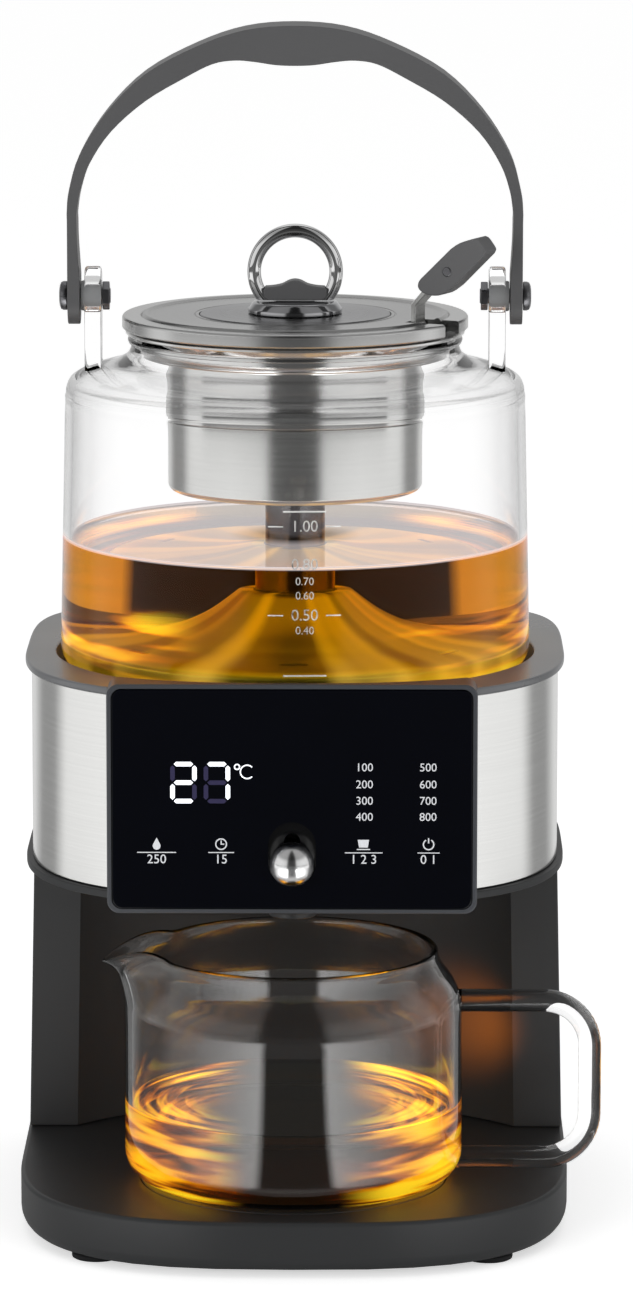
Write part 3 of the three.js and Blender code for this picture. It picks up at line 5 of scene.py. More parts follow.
import bmesh
import bpy
from bpy.props import FloatProperty, FloatVectorProperty, IntProperty, PointerProperty
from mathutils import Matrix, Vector


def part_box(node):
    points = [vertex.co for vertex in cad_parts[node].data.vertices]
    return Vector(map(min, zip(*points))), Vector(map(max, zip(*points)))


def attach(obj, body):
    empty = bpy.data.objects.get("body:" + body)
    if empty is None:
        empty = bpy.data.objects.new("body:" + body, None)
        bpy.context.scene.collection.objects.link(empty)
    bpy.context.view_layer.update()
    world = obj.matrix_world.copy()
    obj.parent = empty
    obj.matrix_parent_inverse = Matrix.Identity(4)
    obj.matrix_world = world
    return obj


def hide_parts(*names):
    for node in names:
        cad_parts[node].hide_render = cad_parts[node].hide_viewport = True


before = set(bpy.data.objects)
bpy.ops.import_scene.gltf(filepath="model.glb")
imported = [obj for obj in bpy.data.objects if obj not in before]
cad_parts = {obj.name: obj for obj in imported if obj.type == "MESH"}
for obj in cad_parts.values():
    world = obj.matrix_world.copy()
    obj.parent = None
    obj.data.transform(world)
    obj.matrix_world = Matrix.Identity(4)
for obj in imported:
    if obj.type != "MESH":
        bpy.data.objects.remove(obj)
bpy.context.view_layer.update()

bl_info = {
    "name": "Tea and coffee brewer",
    "version": (1, 0, 0),
    "blender": (4, 5, 0),
    "location": "3D View > Sidebar > Brewer",
    "description": "Builds the visible pieces of a tea and coffee brewer around its packed parts",
    "category": "Object",
}

MM = 0.001


def middle(node):
    """The middle of a CAD node's box, in metres."""
    low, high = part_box(node)
    return [(a + b) / 2 for a, b in zip(low, high)]


# The kettle's axis carries the drawing's zero. Heights are measured from the table.
AXIS = middle("riser_tube")[:2]
PLATE_Y = (middle("hot_plate")[1] - AXIS[1]) / MM
# Centres of turned pieces in the drawing, in millimetres across their own axes.
PLATE, NOZZLE, CORD, WATER = (0, PLATE_Y), (0, -68), (40, 40), (-40, 40)
PIVOT, KNOB_RING, BALL = (0, 301.3), (0, 309.3), (0, -94)
# Where the panel's face and the level marks lie in depth, and the turn of the basket's strip in degrees.
PANEL_FACE, MARK_FACE, STRIP_TURN = -90, -78, -25


def linear(text):
    """A colour written as six sRGB digits, as linear light."""
    parts = [int(text[i : i + 2], 16) / 255 for i in (0, 2, 4)]
    return [p / 12.92 if p <= 0.04045 else ((p + 0.055) / 1.055) ** 2.4 for p in parts]


def place(x, y, z):
    """A point in millimetres from the kettle's axis and the table, in metres in the frame."""
    return Vector((AXIS[0] + x * MM, AXIS[1] + y * MM, z * MM))


# ---------------------------------------------------------------- sizes and colours


def length(name, description, default):
    return FloatProperty(name=name, description=description, default=default * MM, unit="LENGTH", min=0)


def colour(name, description, default):
    return FloatVectorProperty(
        name=name, description=description, default=linear(default), subtype="COLOR", size=3, min=0, max=1
    )


class BrewerSizes(bpy.types.PropertyGroup):
    """Sizes that can be changed without touching the frame"""

    moulding_round: length("Moulding round", "Rounding on the rims of the plastic mouldings", 0.9)
    sheet_round: length("Sheet round", "Rounding on edges of sheet steel", 0.25)
    kettle_level: length("Kettle level", "Height of the tea in the kettle above the table", 222.4)
    carafe_level: length("Carafe level", "Height of the tea in the carafe above the table", 44)
    lathe_steps: IntProperty(name="Lathe steps", description="Facets round a turned piece", default=128, min=24)
    shown_temperature: IntProperty(
        name="Shown temperature", description="Number lit on the panel", default=27, min=0, max=99
    )


class BrewerColours(bpy.types.PropertyGroup):
    """Colours of the plastics, of the tea and of the panel's lamps"""

    charcoal: colour("Charcoal", "Base, column and head mouldings", "2c2d2e")
    collar: colour("Collar", "Ring round the kettle well", "6a6b6d")
    bezel: colour("Bezel", "Frame of the control panel", "404246")
    bail: colour("Bail", "Arched kettle handle", "575758")
    grip: colour("Grip", "Soft pads on the infuser and on the lid", "606061")
    tea: colour("Tea", "What a centimetre of tea lets through", "fcf2a0")
    lamps: colour("Lamps", "Lit figures on the panel", "f4f8ff")
    legends: colour("Legends", "Printed figures on the panel", "e4e6ea")


# ---------------------------------------------------------------- drawing tools


def clear():
    """Leaves the drawing with nothing selected."""
    if bpy.context.object and bpy.context.object.mode != "OBJECT":
        bpy.ops.object.mode_set(mode="OBJECT")
    bpy.ops.object.select_all(action="DESELECT")


def only(*pieces):
    """Selects these pieces alone, the first one active."""
    clear()
    for obj in pieces:
        obj.select_set(True)
    bpy.context.view_layer.objects.active = pieces[0]


def opened(obj, action="SELECT"):
    """Opens one piece in edit mode, with all of it selected or none."""
    only(obj)
    bpy.ops.object.mode_set(mode="EDIT")
    bpy.ops.mesh.select_all(action=action)


def begin(name, point):
    """Starts a drawing: one corner, in edit mode."""
    clear()
    bpy.ops.mesh.primitive_plane_add(size=0.002, location=point)
    obj = bpy.context.object
    obj.name = name
    opened(obj)
    bpy.ops.mesh.merge(type="CENTER")
    return obj


def draw(points):
    """Draws on from the last corner through each point."""
    for a, b in zip(points, points[1:]):
        bpy.ops.mesh.extrude_vertices_move(TRANSFORM_OT_translate={"value": [q - p for p, q in zip(a, b)]})


def settle(obj):
    """Merges doubles, turns faces outwards and puts the piece's place in its mesh."""
    opened(obj)
    bpy.ops.mesh.remove_doubles(threshold=2e-6)
    bpy.ops.mesh.normals_make_consistent(inside=False)
    bpy.ops.mesh.select_all(action="DESELECT")
    bpy.ops.object.mode_set(mode="OBJECT")
    bpy.ops.object.transform_apply(location=True, rotation=True, scale=True)
    return obj


def turned(name, profile, centre=(0, 0), along="Z", steps=None):
    """Spins a profile of (radius, height) in millimetres about an axis into a closed piece."""
    u, v = centre
    on, axis = {
        "Z": (lambda r, h: place(u + r, v, h), (0, 0, 1)),
        "X": (lambda r, h: place(h, u, v + r), (1, 0, 0)),
        "Y": (lambda r, h: place(u + r, h, v), (0, 1, 0)),
    }[along]
    points = [on(r, h) for r, h in profile]
    ends_on_axis = profile[0][0] == 0 and profile[-1][0] == 0
    obj = begin(name, points[0])
    draw(points if ends_on_axis else points + points[:1])
    bpy.ops.mesh.select_all(action="SELECT")
    steps = steps or bpy.context.scene.brewer_sizes.lathe_steps
    bpy.ops.mesh.spin(steps=steps, angle=2 * math.pi, center=on(0, 0), axis=axis)
    return settle(obj)


def slab(name, outline, low, high, face="XY", turn=0):
    """Fills an outline and pushes it from low to high. Turn, in degrees, is about the kettle's axis."""
    lay = {
        "XY": lambda a, b, c: (a, b, c),
        "XZ": lambda a, b, c: (a, c, b),
        "YZ": lambda a, b, c: (c, a, b),
    }[face]
    cos, sin = math.cos(math.radians(turn)), math.sin(math.radians(turn))

    def on(a, b, c):
        x, y, z = lay(a, b, c)
        return place(x * cos - y * sin, x * sin + y * cos, z)

    points = [on(a, b, low) for a, b in outline]
    obj = begin(name, points[0])
    draw(points)
    bpy.ops.mesh.select_all(action="SELECT")
    bpy.ops.mesh.edge_face_add()
    push = on(*outline[0], high) - points[0]
    bpy.ops.mesh.extrude_region_move(TRANSFORM_OT_translate={"value": push})
    return settle(obj)


def rectangle(left, right, bottom, top):
    return [(left, bottom), (right, bottom), (right, top), (left, top)]


def drum(radius, low, high):
    """The profile of a plain round post."""
    return [(0, low), (radius, low), (radius, high), (0, high)]


def box_of(name, low, high, turn=0):
    """A block between two corners."""
    return slab(name, rectangle(low[0], high[0], low[1], high[1]), low[2], high[2], turn=turn)


def shaped(obj, kind, **settings):
    """Adds a modifier with its settings and applies it."""
    only(obj)
    bpy.ops.object.modifier_add(type=kind)
    modifier = obj.modifiers[-1]
    for key, value in settings.items():
        setattr(modifier, key, value)
    bpy.ops.object.modifier_apply(modifier=modifier.name)
    return obj


def combine(obj, *others, how="DIFFERENCE"):
    """Cuts other pieces out of one, or unites or crosses it with them, and uses them up."""
    for other in others:
        shaped(obj, "BOOLEAN", operation=how, object=other, solver="EXACT")
        bpy.data.objects.remove(other)
    return obj


def rounded(obj, width, segments=3, above=40):
    """Rounds every edge sharper than an angle."""
    angle = math.radians(above)
    return shaped(obj, "BEVEL", width=width * MM, segments=segments, limit_method="ANGLE", angle_limit=angle)


def copied(obj, name, shift=(0, 0, 0)):
    """A copy with its own mesh, moved by millimetres."""
    only(obj)
    bpy.ops.object.duplicate(linked=False)
    new = bpy.context.object
    new.name = name
    opened(new)
    bpy.ops.transform.translate(value=[step * MM for step in shift])
    bpy.ops.object.mode_set(mode="OBJECT")
    return new


def mirrored(obj, name):
    """A copy on the other side of the kettle's axis."""
    new = copied(obj, name)
    opened(new)
    bpy.ops.transform.resize(value=(-1, 1, 1), center_override=place(0, 0, 0))
    bpy.ops.mesh.normals_make_consistent(inside=False)
    bpy.ops.object.mode_set(mode="OBJECT")
    return new


def joined(name, pieces):
    """Several pieces as one."""
    only(*pieces)
    bpy.ops.object.join()
    bpy.context.object.name = name
    return bpy.context.object


def fitted(obj, body, name, *nodes, smooth=35):
    """Hands a finished piece to its body, in place of the CAD nodes, with the named finish."""
    only(obj)
    bpy.ops.object.shade_smooth_by_angle(angle=math.radians(smooth))
    # Broad faces stay flat or straight up to their rounded edges.
    shaped(obj, "WEIGHTED_NORMAL", weight=50, keep_sharp=True)
    obj.data.materials.clear()
    obj.data.materials.append(finish(name))
    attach(obj, body)
    if nodes:
        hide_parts(*nodes)


def arc(a, b, radius, start, end, steps):
    """Points on an arc about a centre, from one angle to another in degrees."""
    turns = [math.radians(start + (end - start) * i / steps) for i in range(steps + 1)]
    return [(a + radius * math.cos(t), b + radius * math.sin(t)) for t in turns]


def eased(points, steps):
    """A smooth line through the points."""
    ends = [points[0], *points, points[-1]]
    line = []
    for four in zip(ends, ends[1:], ends[2:], ends[3:]):
        for i in range(steps):
            t = i / steps
            line.append(tuple(
                0.5 * (2 * b + (c - a) * t + (2 * a - 5 * b + 4 * c - d) * t**2 + (3 * b - a - 3 * c + d) * t**3)
                for a, b, c, d in zip(*four)
            ))
    return line + [points[-1]]


def rounded_rectangle(left, right, bottom, top, corner, steps=8):
    """A rectangle with round corners."""
    return [
        *arc(right - corner, bottom + corner, corner, -90, 0, steps),
        *arc(right - corner, top - corner, corner, 0, 90, steps),
        *arc(left + corner, top - corner, corner, 90, 180, steps),
        *arc(left + corner, bottom + corner, corner, 180, 270, steps),
    ]


def obround(half, bottom, top, steps=16):
    """An upright slot with round ends."""
    return [*arc(0, bottom + half, half, 180, 360, steps), *arc(0, top - half, half, 0, 180, steps)]


def plan(half, middle_y, front, front_power, back, back_power, inset=0, steps=200):
    """The brewer seen from above: a front half and a back half, each its own superellipse."""
    points = []
    for i in range(steps):
        across, along = math.cos(2 * math.pi * i / steps), math.sin(2 * math.pi * i / steps)
        power, reach = (front_power, front) if along < 0 else (back_power, back)
        bent = [math.copysign(abs(part) ** (2 / power), part) for part in (across, along)]
        points.append(((half - inset) * bent[0], middle_y + (reach - inset) * bent[1]))
    return points


def base_plan(inset=0):
    return plan(90, -20, 91, 2.9, 110, 8, inset)


def head_plan(inset=0):
    return plan(88.6, 0, 87, 2.6, 88, 4.5, inset)


# ---------------------------------------------------------------- finishes


def feed(node, inputs):
    """Sets a node's sockets, each to a value or to a link from another node. A plain number is a grey in a colour."""
    for key, value in inputs.items():
        socket = node.inputs[key]
        if isinstance(value, bpy.types.NodeSocket):
            node.id_data.links.new(value, socket)
        elif socket.type == "RGBA" and isinstance(value, (int, float)):
            socket.default_value = (value, value, value, 1)
        else:
            socket.default_value = value


def add(tree, kind, inputs=(), take=0, **settings):
    """Adds a node with its own settings and gives one of its outputs. Inputs are named, or listed in order."""
    node = tree.nodes.new("ShaderNode" + kind)
    for key, value in settings.items():
        setattr(node, key, value)
    feed(node, inputs if isinstance(inputs, dict) else dict(enumerate(inputs)))
    return node.outputs[take]


def blank(name, **sockets):
    """A new finish with its shader's plain values set."""
    finish = bpy.data.materials.new(name)
    finish.use_nodes = True
    tree = finish.node_tree
    shader = tree.nodes["Principled BSDF"]
    feed(shader, {key.replace("_", " "): value for key, value in sockets.items()})
    return finish, tree, shader, add(tree, "TexCoord", take="Object")


def varied(tree, shader, pattern, tint, tones, gloss=None):
    """Lets one pattern run the tint between two tones, and the roughness between two values."""
    colour = add(tree, "ValToRGB", {"Fac": pattern})
    for stop, tone in zip(colour.node.color_ramp.elements, tones):
        stop.color = (*[min(part * tone, 1) for part in tint], 1)
    feed(shader, {"Base Color": colour})
    if gloss:
        feed(shader, {"Roughness": add(tree, "MapRange", {"Value": pattern, "To Min": gloss[0], "To Max": gloss[1]})})
    return colour


def mottled(name, patch, tint, tones, gloss=None, detail=2.0, fine=0.5, **sockets):
    """A finish whose tint and gloss change together over patches of a size in millimetres."""
    finish, tree, shader, coords = blank(name, **sockets)
    patches = {"Vector": coords, "Scale": 1 / (patch * MM), "Detail": detail, "Roughness": fine}
    colour = varied(tree, shader, add(tree, "TexNoise", patches), tint, tones, gloss)
    return finish, tree, shader, coords, colour


def about_axis(tree, coords, centre_y=0):
    """A point from an upright axis on the kettle's line, whole and without its height."""
    centre = (-AXIS[0], -AXIS[1] - centre_y * MM, 0)
    centred = add(tree, "Mapping", {"Vector": coords, "Location": centre})
    return centred, add(tree, "VectorMath", (centred, (1, 1, 0)), operation="MULTIPLY")


def moulded_plastic(name, tint, rough=0.45, grain=0.9, depth=0.12, specular=0.4):
    """Spark-eroded moulding: a fine even grain, faint flow clouds, and wear that dulls the gloss in patches."""
    gloss = (rough - 0.05, rough + 0.07)
    finish, tree, shader, coords, _ = mottled(name, 45, tint, (0.93, 1.07), gloss, 3.0, Specular_IOR_Level=specular)
    # The real grain is about 0.3 mm; it is drawn coarser so that a picture can hold it.
    pits = add(tree, "TexNoise", {"Vector": coords, "Scale": 1 / (grain * MM), "Detail": 2.0})
    feed(shader, {"Normal": add(tree, "Bump", {"Height": pits, "Strength": depth, "Distance": 0.2 * MM})})
    return finish


def brushed_steel(name, tint, rough, run="turned", depth=0.02, anisotropic=0.5, painted_rim_from=0):
    """Brushed steel: long hairlines that run one way, seen as faint stripes in gloss and colour."""
    finish, tree, shader, coords = blank(name, Metallic=1.0, Anisotropic=anisotropic)
    centred, flat = about_axis(tree, coords)
    if run == "round":
        # Hairlines go round: they change with height only.
        stretched = add(tree, "Mapping", {"Vector": centred, "Scale": (9, 9, 1 / (0.5 * MM))})
    else:
        # Lathe lines: rings of one radius, and rings of one height.
        reach = add(tree, "VectorMath", (flat,), 1, operation="LENGTH")
        rings = add(tree, "CombineXYZ", (reach, add(tree, "SeparateXYZ", (centred,), "Z")))
        stretched = add(tree, "Mapping", {"Vector": rings, "Scale": (1 / (0.9 * MM),) * 3})
    lines = add(tree, "TexNoise", {"Vector": stretched, "Scale": 1.0, "Detail": 3.0})
    tone = varied(tree, shader, lines, tint, (0.93, 1.05), (rough - 0.04, rough + 0.04))
    if painted_rim_from:
        # Painted highlight: inside the rim the tint is darkened to seven tenths, so that the rim reads brighter, as if
        # it caught the light.
        rim = {"Value": reach, "From Min": (painted_rim_from - 1) * MM, "From Max": painted_rim_from * MM, "To Min": 0.7}
        rim = add(tree, "MapRange", rim)
        feed(shader, {"Base Color": add(tree, "VectorMath", {0: tone, "Scale": rim}, operation="SCALE")})
    feed(shader, {"Normal": add(tree, "Bump", {"Height": lines, "Strength": depth, "Distance": 0.05 * MM})})
    return finish


def lit_steel(name, tint, rough):
    """Satin steel under tea: lathe lines, and painted light: an amber emission glow in soft spokes that stands in for
    the light the tea gathers on it.
    """
    finish = brushed_steel(name, tint, rough)
    tree = finish.node_tree
    _, flat = about_axis(tree, add(tree, "TexCoord", take="Object"))
    way = add(tree, "VectorMath", (flat,), operation="NORMALIZE")
    spokes = add(tree, "TexNoise", {"Vector": way, "Scale": 2.6, "Detail": 1.5, "Distortion": 0.2})
    # Painted light: the spokes run the emission colour, so the steel glows amber though no lamp lights it.
    glow = add(tree, "ValToRGB", {"Fac": spokes})
    stops = glow.node.color_ramp.elements
    stops[0].position, stops[0].color = 0.44, (0.0124, 0.0084, 0.004, 1)
    stops[1].position, stops[1].color = 0.64, (0.62, 0.42, 0.2, 1)
    feed(tree.nodes["Principled BSDF"], {"Emission Color": glow, "Emission Strength": 0.75})
    return finish


def polished_metal(name, tint, rough=0.05):
    """Polished plating: near mirror, with a breath of haze that comes and goes."""
    return mottled(name, 8, tint, (0.95, 1.02), (rough * 0.6, rough * 1.6), 3.0, Metallic=1.0)[0]


def blown_glass(name, tint, mirror, gloss):
    """Borosilicate glass: clear and colourless, its gloss a little uneven where the wall was drawn."""
    return mottled(
        name, 50, tint, (0.996, 1.0), (0.0, 0.005), 1.0, Transmission_Weight=1.0, IOR=1.47,
        Specular_Tint=mirror, Coat_Weight=gloss, Coat_IOR=1.7, Coat_Roughness=0.01,
    )[0]


def brewed_tea(name, through, level, centre_y, inner, outer, low, high, sheen=0.0, foot=1.0):
    """Brewed tea: clear amber that deepens with what the eye looks through. Painted light: glowing streaks at its sides
    stand in for the lamps' light, and a painted sheen lies on its surface.
    """
    finish, tree, shader, coords = blank(
        name, Transmission_Weight=1.0, IOR=1.33, Specular_Tint=0.12, Emission_Strength=0.95
    )
    centred, flat = about_axis(tree, coords, centre_y)
    reach = add(tree, "VectorMath", (flat,), 1, operation="LENGTH")
    way = add(tree, "VectorMath", (flat,), operation="NORMALIZE")
    height = add(tree, "SeparateXYZ", (centred,), "Z")
    aside = add(tree, "Math", (add(tree, "SeparateXYZ", (centred,), "X"),), operation="ABSOLUTE")
    # The painted light's streaks run round the vessel: they change slowly with the way round, and fast with height and
    # reach.
    across = add(tree, "Math", (reach, 1 / (4 * MM)), operation="MULTIPLY")
    rise = add(tree, "Math", (height, 1 / (6 * MM), across), operation="MULTIPLY_ADD")
    along = (way, (1.1, 1.1, 1.1), add(tree, "CombineXYZ", {"Z": rise}))
    along = add(tree, "VectorMath", along, operation="MULTIPLY_ADD")
    streaks = add(tree, "TexNoise", {"Vector": along, "Scale": 1.0, "Distortion": 0.15})
    light = add(tree, "ValToRGB", {"Fac": streaks})
    stops = light.node.color_ramp.elements
    stops.new(0.5)
    stops.new(0.6)
    tones = ((0.45, (0.02, 0.004, 0)), (0.51, (0.4, 0.1, 0)), (0.56, (0.95, 0.4, 0.003)), (0.64, (1, 0.66, 0.015)))
    for stop, (at, tone) in zip(stops, tones):
        stop.position = at
        stop.color = (*tone, 1)

    def masked(share, *masks):
        """A share cut down by masks: what each follows, where it starts and ends, its two values and its run."""
        for value, start, end, first, last, run in masks:
            ends = {"From Min": start * MM, "From Max": end * MM, "To Min": first, "To Max": last}
            mask = add(tree, "MapRange", {"Value": value, **ends}, interpolation_type=run)
            share = add(tree, "Math", (mask, share), operation="MULTIPLY")
        return share

    # Painted light: the streaks glow towards the sides and below a height, and fade to a share at the foot.
    sides = masked(
        1.0,
        (aside, inner, outer, 0, 1, "SMOOTHSTEP"),
        (reach, 0.8 * outer, 1.3 * outer, 0, 1, "SMOOTHSTEP"),
        (height, high, low, 0, 1, "SMOOTHSTEP"),
        (height, low - 14, low - 8, foot, 1, "LINEAR"),
    )
    # Painted sheen: the still surface glows in place of the ceiling's reflection. It thins out round the riser, and
    # grows at the wall as a painted highlight on the meniscus.
    surface = masked(
        add(tree, "Math", (height, (level - 0.05) * MM), operation="GREATER_THAN"),
        (reach, 11, 22, 0, 1, "LINEAR"),
        (reach, 72, 73.4, 1, 1.2, "LINEAR"),
    )
    painted_streak_light = add(tree, "VectorMath", {0: light, "Scale": sides}, operation="SCALE")
    painted_sheen_colour = {0: (sheen, sheen * 0.92, sheen * 0.94), "Scale": surface}
    painted_sheen_colour = add(tree, "VectorMath", painted_sheen_colour, operation="SCALE")
    gloss = add(tree, "MapRange", {"Value": streaks, "To Min": 0.0, "To Max": 0.01})
    feed(shader, {
        "Emission Color": add(tree, "VectorMath", (painted_streak_light, painted_sheen_colour), operation="MAXIMUM"), "Roughness": gloss,
    })
    # What a centimetre lets through gives what each metre takes out.
    taken = [-math.log(max(part, 0.02)) / 0.01 for part in through]
    body = {"Color": (*[1 - rate / max(taken) for rate in taken], 1), "Density": max(taken)}
    feed(tree.nodes["Material Output"], {"Volume": add(tree, "VolumeAbsorption", body)})
    return finish


def black_panel(name, tint):
    """Back-painted glass: a deep black sheet with a clean gloss and faint wipe marks."""
    return mottled(name, 20, tint, (0.8, 1.2), (0.04, 0.12), 4.0, Specular_IOR_Level=0.3)[0]


def lit(name, tint, strength):
    """Lamps behind a diffuser: even light with a slight fall towards the ends."""
    finish, _, shader, _, glow = mottled(name, 6, tint, (0.9, 1.0), Emission_Strength=strength, Roughness=0.4)
    feed(shader, {"Emission Color": glow})
    return finish


def printed(name, tint):
    """Silk-screened ink: flat and slightly uneven in cover."""
    return mottled(name, 1.2, tint, (0.88, 1.05), Roughness=0.5)[0]


def soft_rubber(name, tint, rough, through=0.0):
    """Moulded rubber or silicone: a dry skin with a soft bloom, and some light through where it is clear."""
    gloss = (rough - 0.08, rough + 0.1)
    finish, tree, shader, coords, _ = mottled(
        name, 12, tint, (0.88, 1.12), gloss, 4.0, Transmission_Weight=through, IOR=1.41
    )
    skin = add(tree, "TexNoise", {"Vector": coords, "Scale": 1 / MM})
    feed(shader, {"Normal": add(tree, "Bump", {"Height": skin, "Strength": 0.15, "Distance": 0.1 * MM})})
    return finish


def enamel(name, tint):
    """Baked enamel on the warming plate: dark, slightly pebbled, scuffed by the carafe."""
    return mottled(name, 10, tint, (0.8, 1.3), (0.25, 0.45), 6.0, 0.7, Specular_IOR_Level=0.5)[0]


def circuit_board(name, tint):
    """Lacquered board: green mask crossed by paler tracks."""
    finish, tree, shader, coords = blank(name, Roughness=0.35)
    mask, copper = (*linear("23543a"), 1), (*linear("8f9c6a"), 1)
    tracks = {"Vector": coords, "Color1": (*tint, 1), "Color2": mask, "Mortar": copper, "Mortar Size": 0.03}
    feed(shader, {"Base Color": add(tree, "TexBrick", {**tracks, "Scale": 60.0})})
    return finish


FINISHES = {}


def finish(name):
    """The named finish, made the first time it is asked for."""
    if name in FINISHES:
        return FINISHES[name]
    colours, sizes = bpy.context.scene.brewer_colours, bpy.context.scene.brewer_sizes
    # Where the painted light gathers in the tea, in millimetres: its start and full strength to the sides, and in
    # height. The kettle's tea also gets a painted sheen on its surface, and keeps a share of the painted light at its
    # foot.
    kettle_painted_light = {"centre_y": 0, "inner": 26, "outer": 50, "low": 201, "high": 209, "sheen": 0.3, "foot": 0.35}
    carafe_painted_light = {"centre_y": PLATE_Y, "inner": 14, "outer": 34, "low": 46, "high": 47}
    maker, label, tint, *rest = {
        "charcoal": (moulded_plastic, "charcoal_moulding", colours.charcoal),
        "collar": (moulded_plastic, "collar_moulding", colours.collar, 0.28, 1.2, 0.04, 0.7),
        "bezel": (moulded_plastic, "bezel_moulding", colours.bezel, 0.35, 1.2, 0.05),
        "bail": (moulded_plastic, "bail_moulding", colours.bail, 0.42),
        "grip": (moulded_plastic, "grip_moulding", colours.grip, 0.55),
        "recess": (moulded_plastic, "gloss_black_moulding", "0b0b0d", 0.12, 1.2, 0.02, 0.5),
        "band": (brushed_steel, "brushed_band_steel", "eeeeec", 0.16, "round", 0.06, 0.3),
        "cup": (brushed_steel, "turned_cup_steel", "e4e4e2", 0.16, "turned", 0.015),
        "rim": (brushed_steel, "turned_rim_steel", "dededd", 0.13),
        # The lid's rim, outside 51 mm, stays brighter than its middle as a painted highlight.
        "lid": (brushed_steel, "satin_lid_steel", "d0d0cf", 0.22, "turned", 0.02, 0.5, 51),
        "disc": (brushed_steel, "dark_disc_steel", "9c9c9d", 0.26),
        "sheet": (brushed_steel, "sheet_steel", "d6d6d4", 0.26),
        "heater": (brushed_steel, "tarnished_heater_steel", "6b6663", 0.3),
        # The cone's amber glow is painted light.
        "cone": (lit_steel, "satin_cone_steel", "d0d0ce", 0.35),
        "chrome": (polished_metal, "chrome_plate", "f0f0f0"),
        "ball": (polished_metal, "worn_chrome_plate", "f4f4f4", 0.16),
        "dark_chrome": (polished_metal, "dark_chrome_plate", "b4b4b6", 0.1),
        "tube": (polished_metal, "riser_steel", "77777a", 0.14),
        "dark_steel": (polished_metal, "blackened_steel", "77777a", 0.25),
        "element": (polished_metal, "element_sheath", "6f6a66", 0.4),
        "glass": (blown_glass, "borosilicate_glass", "ffffff", 0.1, 0.0),
        "thick_glass": (blown_glass, "pressed_borosilicate_glass", "ffffff", 0.6, 0.25),
        "kettle_tea": (brewed_tea, "kettle_brew", colours.tea, sizes.kettle_level / MM, kettle_painted_light),
        "carafe_tea": (brewed_tea, "carafe_brew", colours.tea, sizes.carafe_level / MM, carafe_painted_light),
        "panel": (black_panel, "back_painted_glass", "020309"),
        "lamps": (lit, "display_lamps", colours.lamps, 1.0),
        "unlit": (lit, "unlit_segments", "2b2748", 0.12),
        "ink": (printed, "panel_ink", colours.legends),
        "mark": (printed, "level_ink", "f6f6f4"),
        "rubber": (soft_rubber, "foot_rubber", "1c1c1d", 0.7),
        "sleeve": (soft_rubber, "sleeve_silicone", "a6a7a8", 0.35, 0.2),
        "silicone": (soft_rubber, "clear_silicone", "dcdcd8", 0.4, 0.5),
        "plate": (enamel, "plate_enamel", "2b2b2c"),
        "board": (circuit_board, "lacquered_board", "1f4a2e"),
    }[name]
    named = rest.pop() if rest and isinstance(rest[-1], dict) else {}
    FINISHES[name] = maker(label, linear(tint) if isinstance(tint, str) else tint, *rest, **named)
    return FINISHES[name]


CARRIED = {
    "charcoal": ("base_cover", "water_pump", "head_shell", "drain_cup", "lever_bracket"),
    "element": ("hot_plate_heater", "heating_element"),
    "sheet": ("temperature_probe", "lever_pivot_pin", "kettle_valve_body"),
    "chrome": ("lever_stem",),
    "silicone": ("drain_hose", "supply_hose", "tap_body", "tap_plunger", "valve_poppet"),
    "board": ("power_board", "display_board"),
}


# ---------------------------------------------------------------- pieces


class BrewerOperator:
    """What all the pieces' operators share: each builds from the scene's sizes"""

    bl_options = {"REGISTER", "UNDO"}

    def execute(self, context):
        self.build(context.scene.brewer_sizes)
        return {"FINISHED"}


class BREWER_OT_inner_parts(BrewerOperator, bpy.types.Operator):
    """Gives the carried inner pieces their finishes"""

    bl_idname = "brewer.inner_parts"
    bl_label = "Inner Parts"

    def build(self, sizes):
        for name, nodes in CARRIED.items():
            for node in nodes:
                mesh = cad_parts[node].data
                mesh.materials.clear()
                mesh.materials.append(finish(name))


class BREWER_OT_base(BrewerOperator, bpy.types.Operator):
    """Base tray, the warming plate and the feet"""

    bl_idname = "brewer.base"
    bl_label = "Base"

    def build(self, sizes):
        tray = rounded(slab("base_moulding", base_plan(), 2, 18.3), 1.6 * sizes.moulding_round / MM, 4)
        combine(tray, rounded(slab("base_lower_form", base_plan(), 2, 60), 4.5, 6), how="INTERSECT")
        combine(
            tray,
            slab("base_hollow", base_plan(2.4), -2, 15.3),
            turned("plate_recess", drum(50.3, 16.7, 24), PLATE),
            turned("plate_hole", drum(46, 2, 24), PLATE),
        )
        fitted(tray, "machine", "charcoal", "base_plate")

        plate = turned(
            "warming_plate",
            [(0, 17), (49.3, 17), (49.8, 17.2), (50, 17.7), (49.8, 18.3), (49.2, 18.6), (45.6, 18.6),
             (45.3, 18.35), (44.7, 18.35), (44.4, 18.6), (0, 18.6)],
            PLATE,
        )
        fitted(plate, "machine", "plate", "hot_plate")

        places = {"front_left": (-63, -84), "front_right": (63, -84), "rear_left": (-63, 63), "rear_right": (63, 63)}
        x, y = places["front_left"]
        pad = turned(
            "foot_pad_front_left",
            [(0, 0.5), (4.2, 0.5), (4.6, 0), (7.4, 0), (7.9, 0.3), (8, 0.8), (8, 1.6), (7.6, 2), (3, 2),
             (3, 4.3), (2.8, 4.5), (0, 4.5)],
            (x, y), steps=48,
        )
        for where, (new_x, new_y) in places.items():
            foot = pad if where == "front_left" else copied(pad, "foot_pad_" + where, (new_x - x, new_y - y, 0))
            fitted(foot, "machine", "rubber", "foot_" + where)


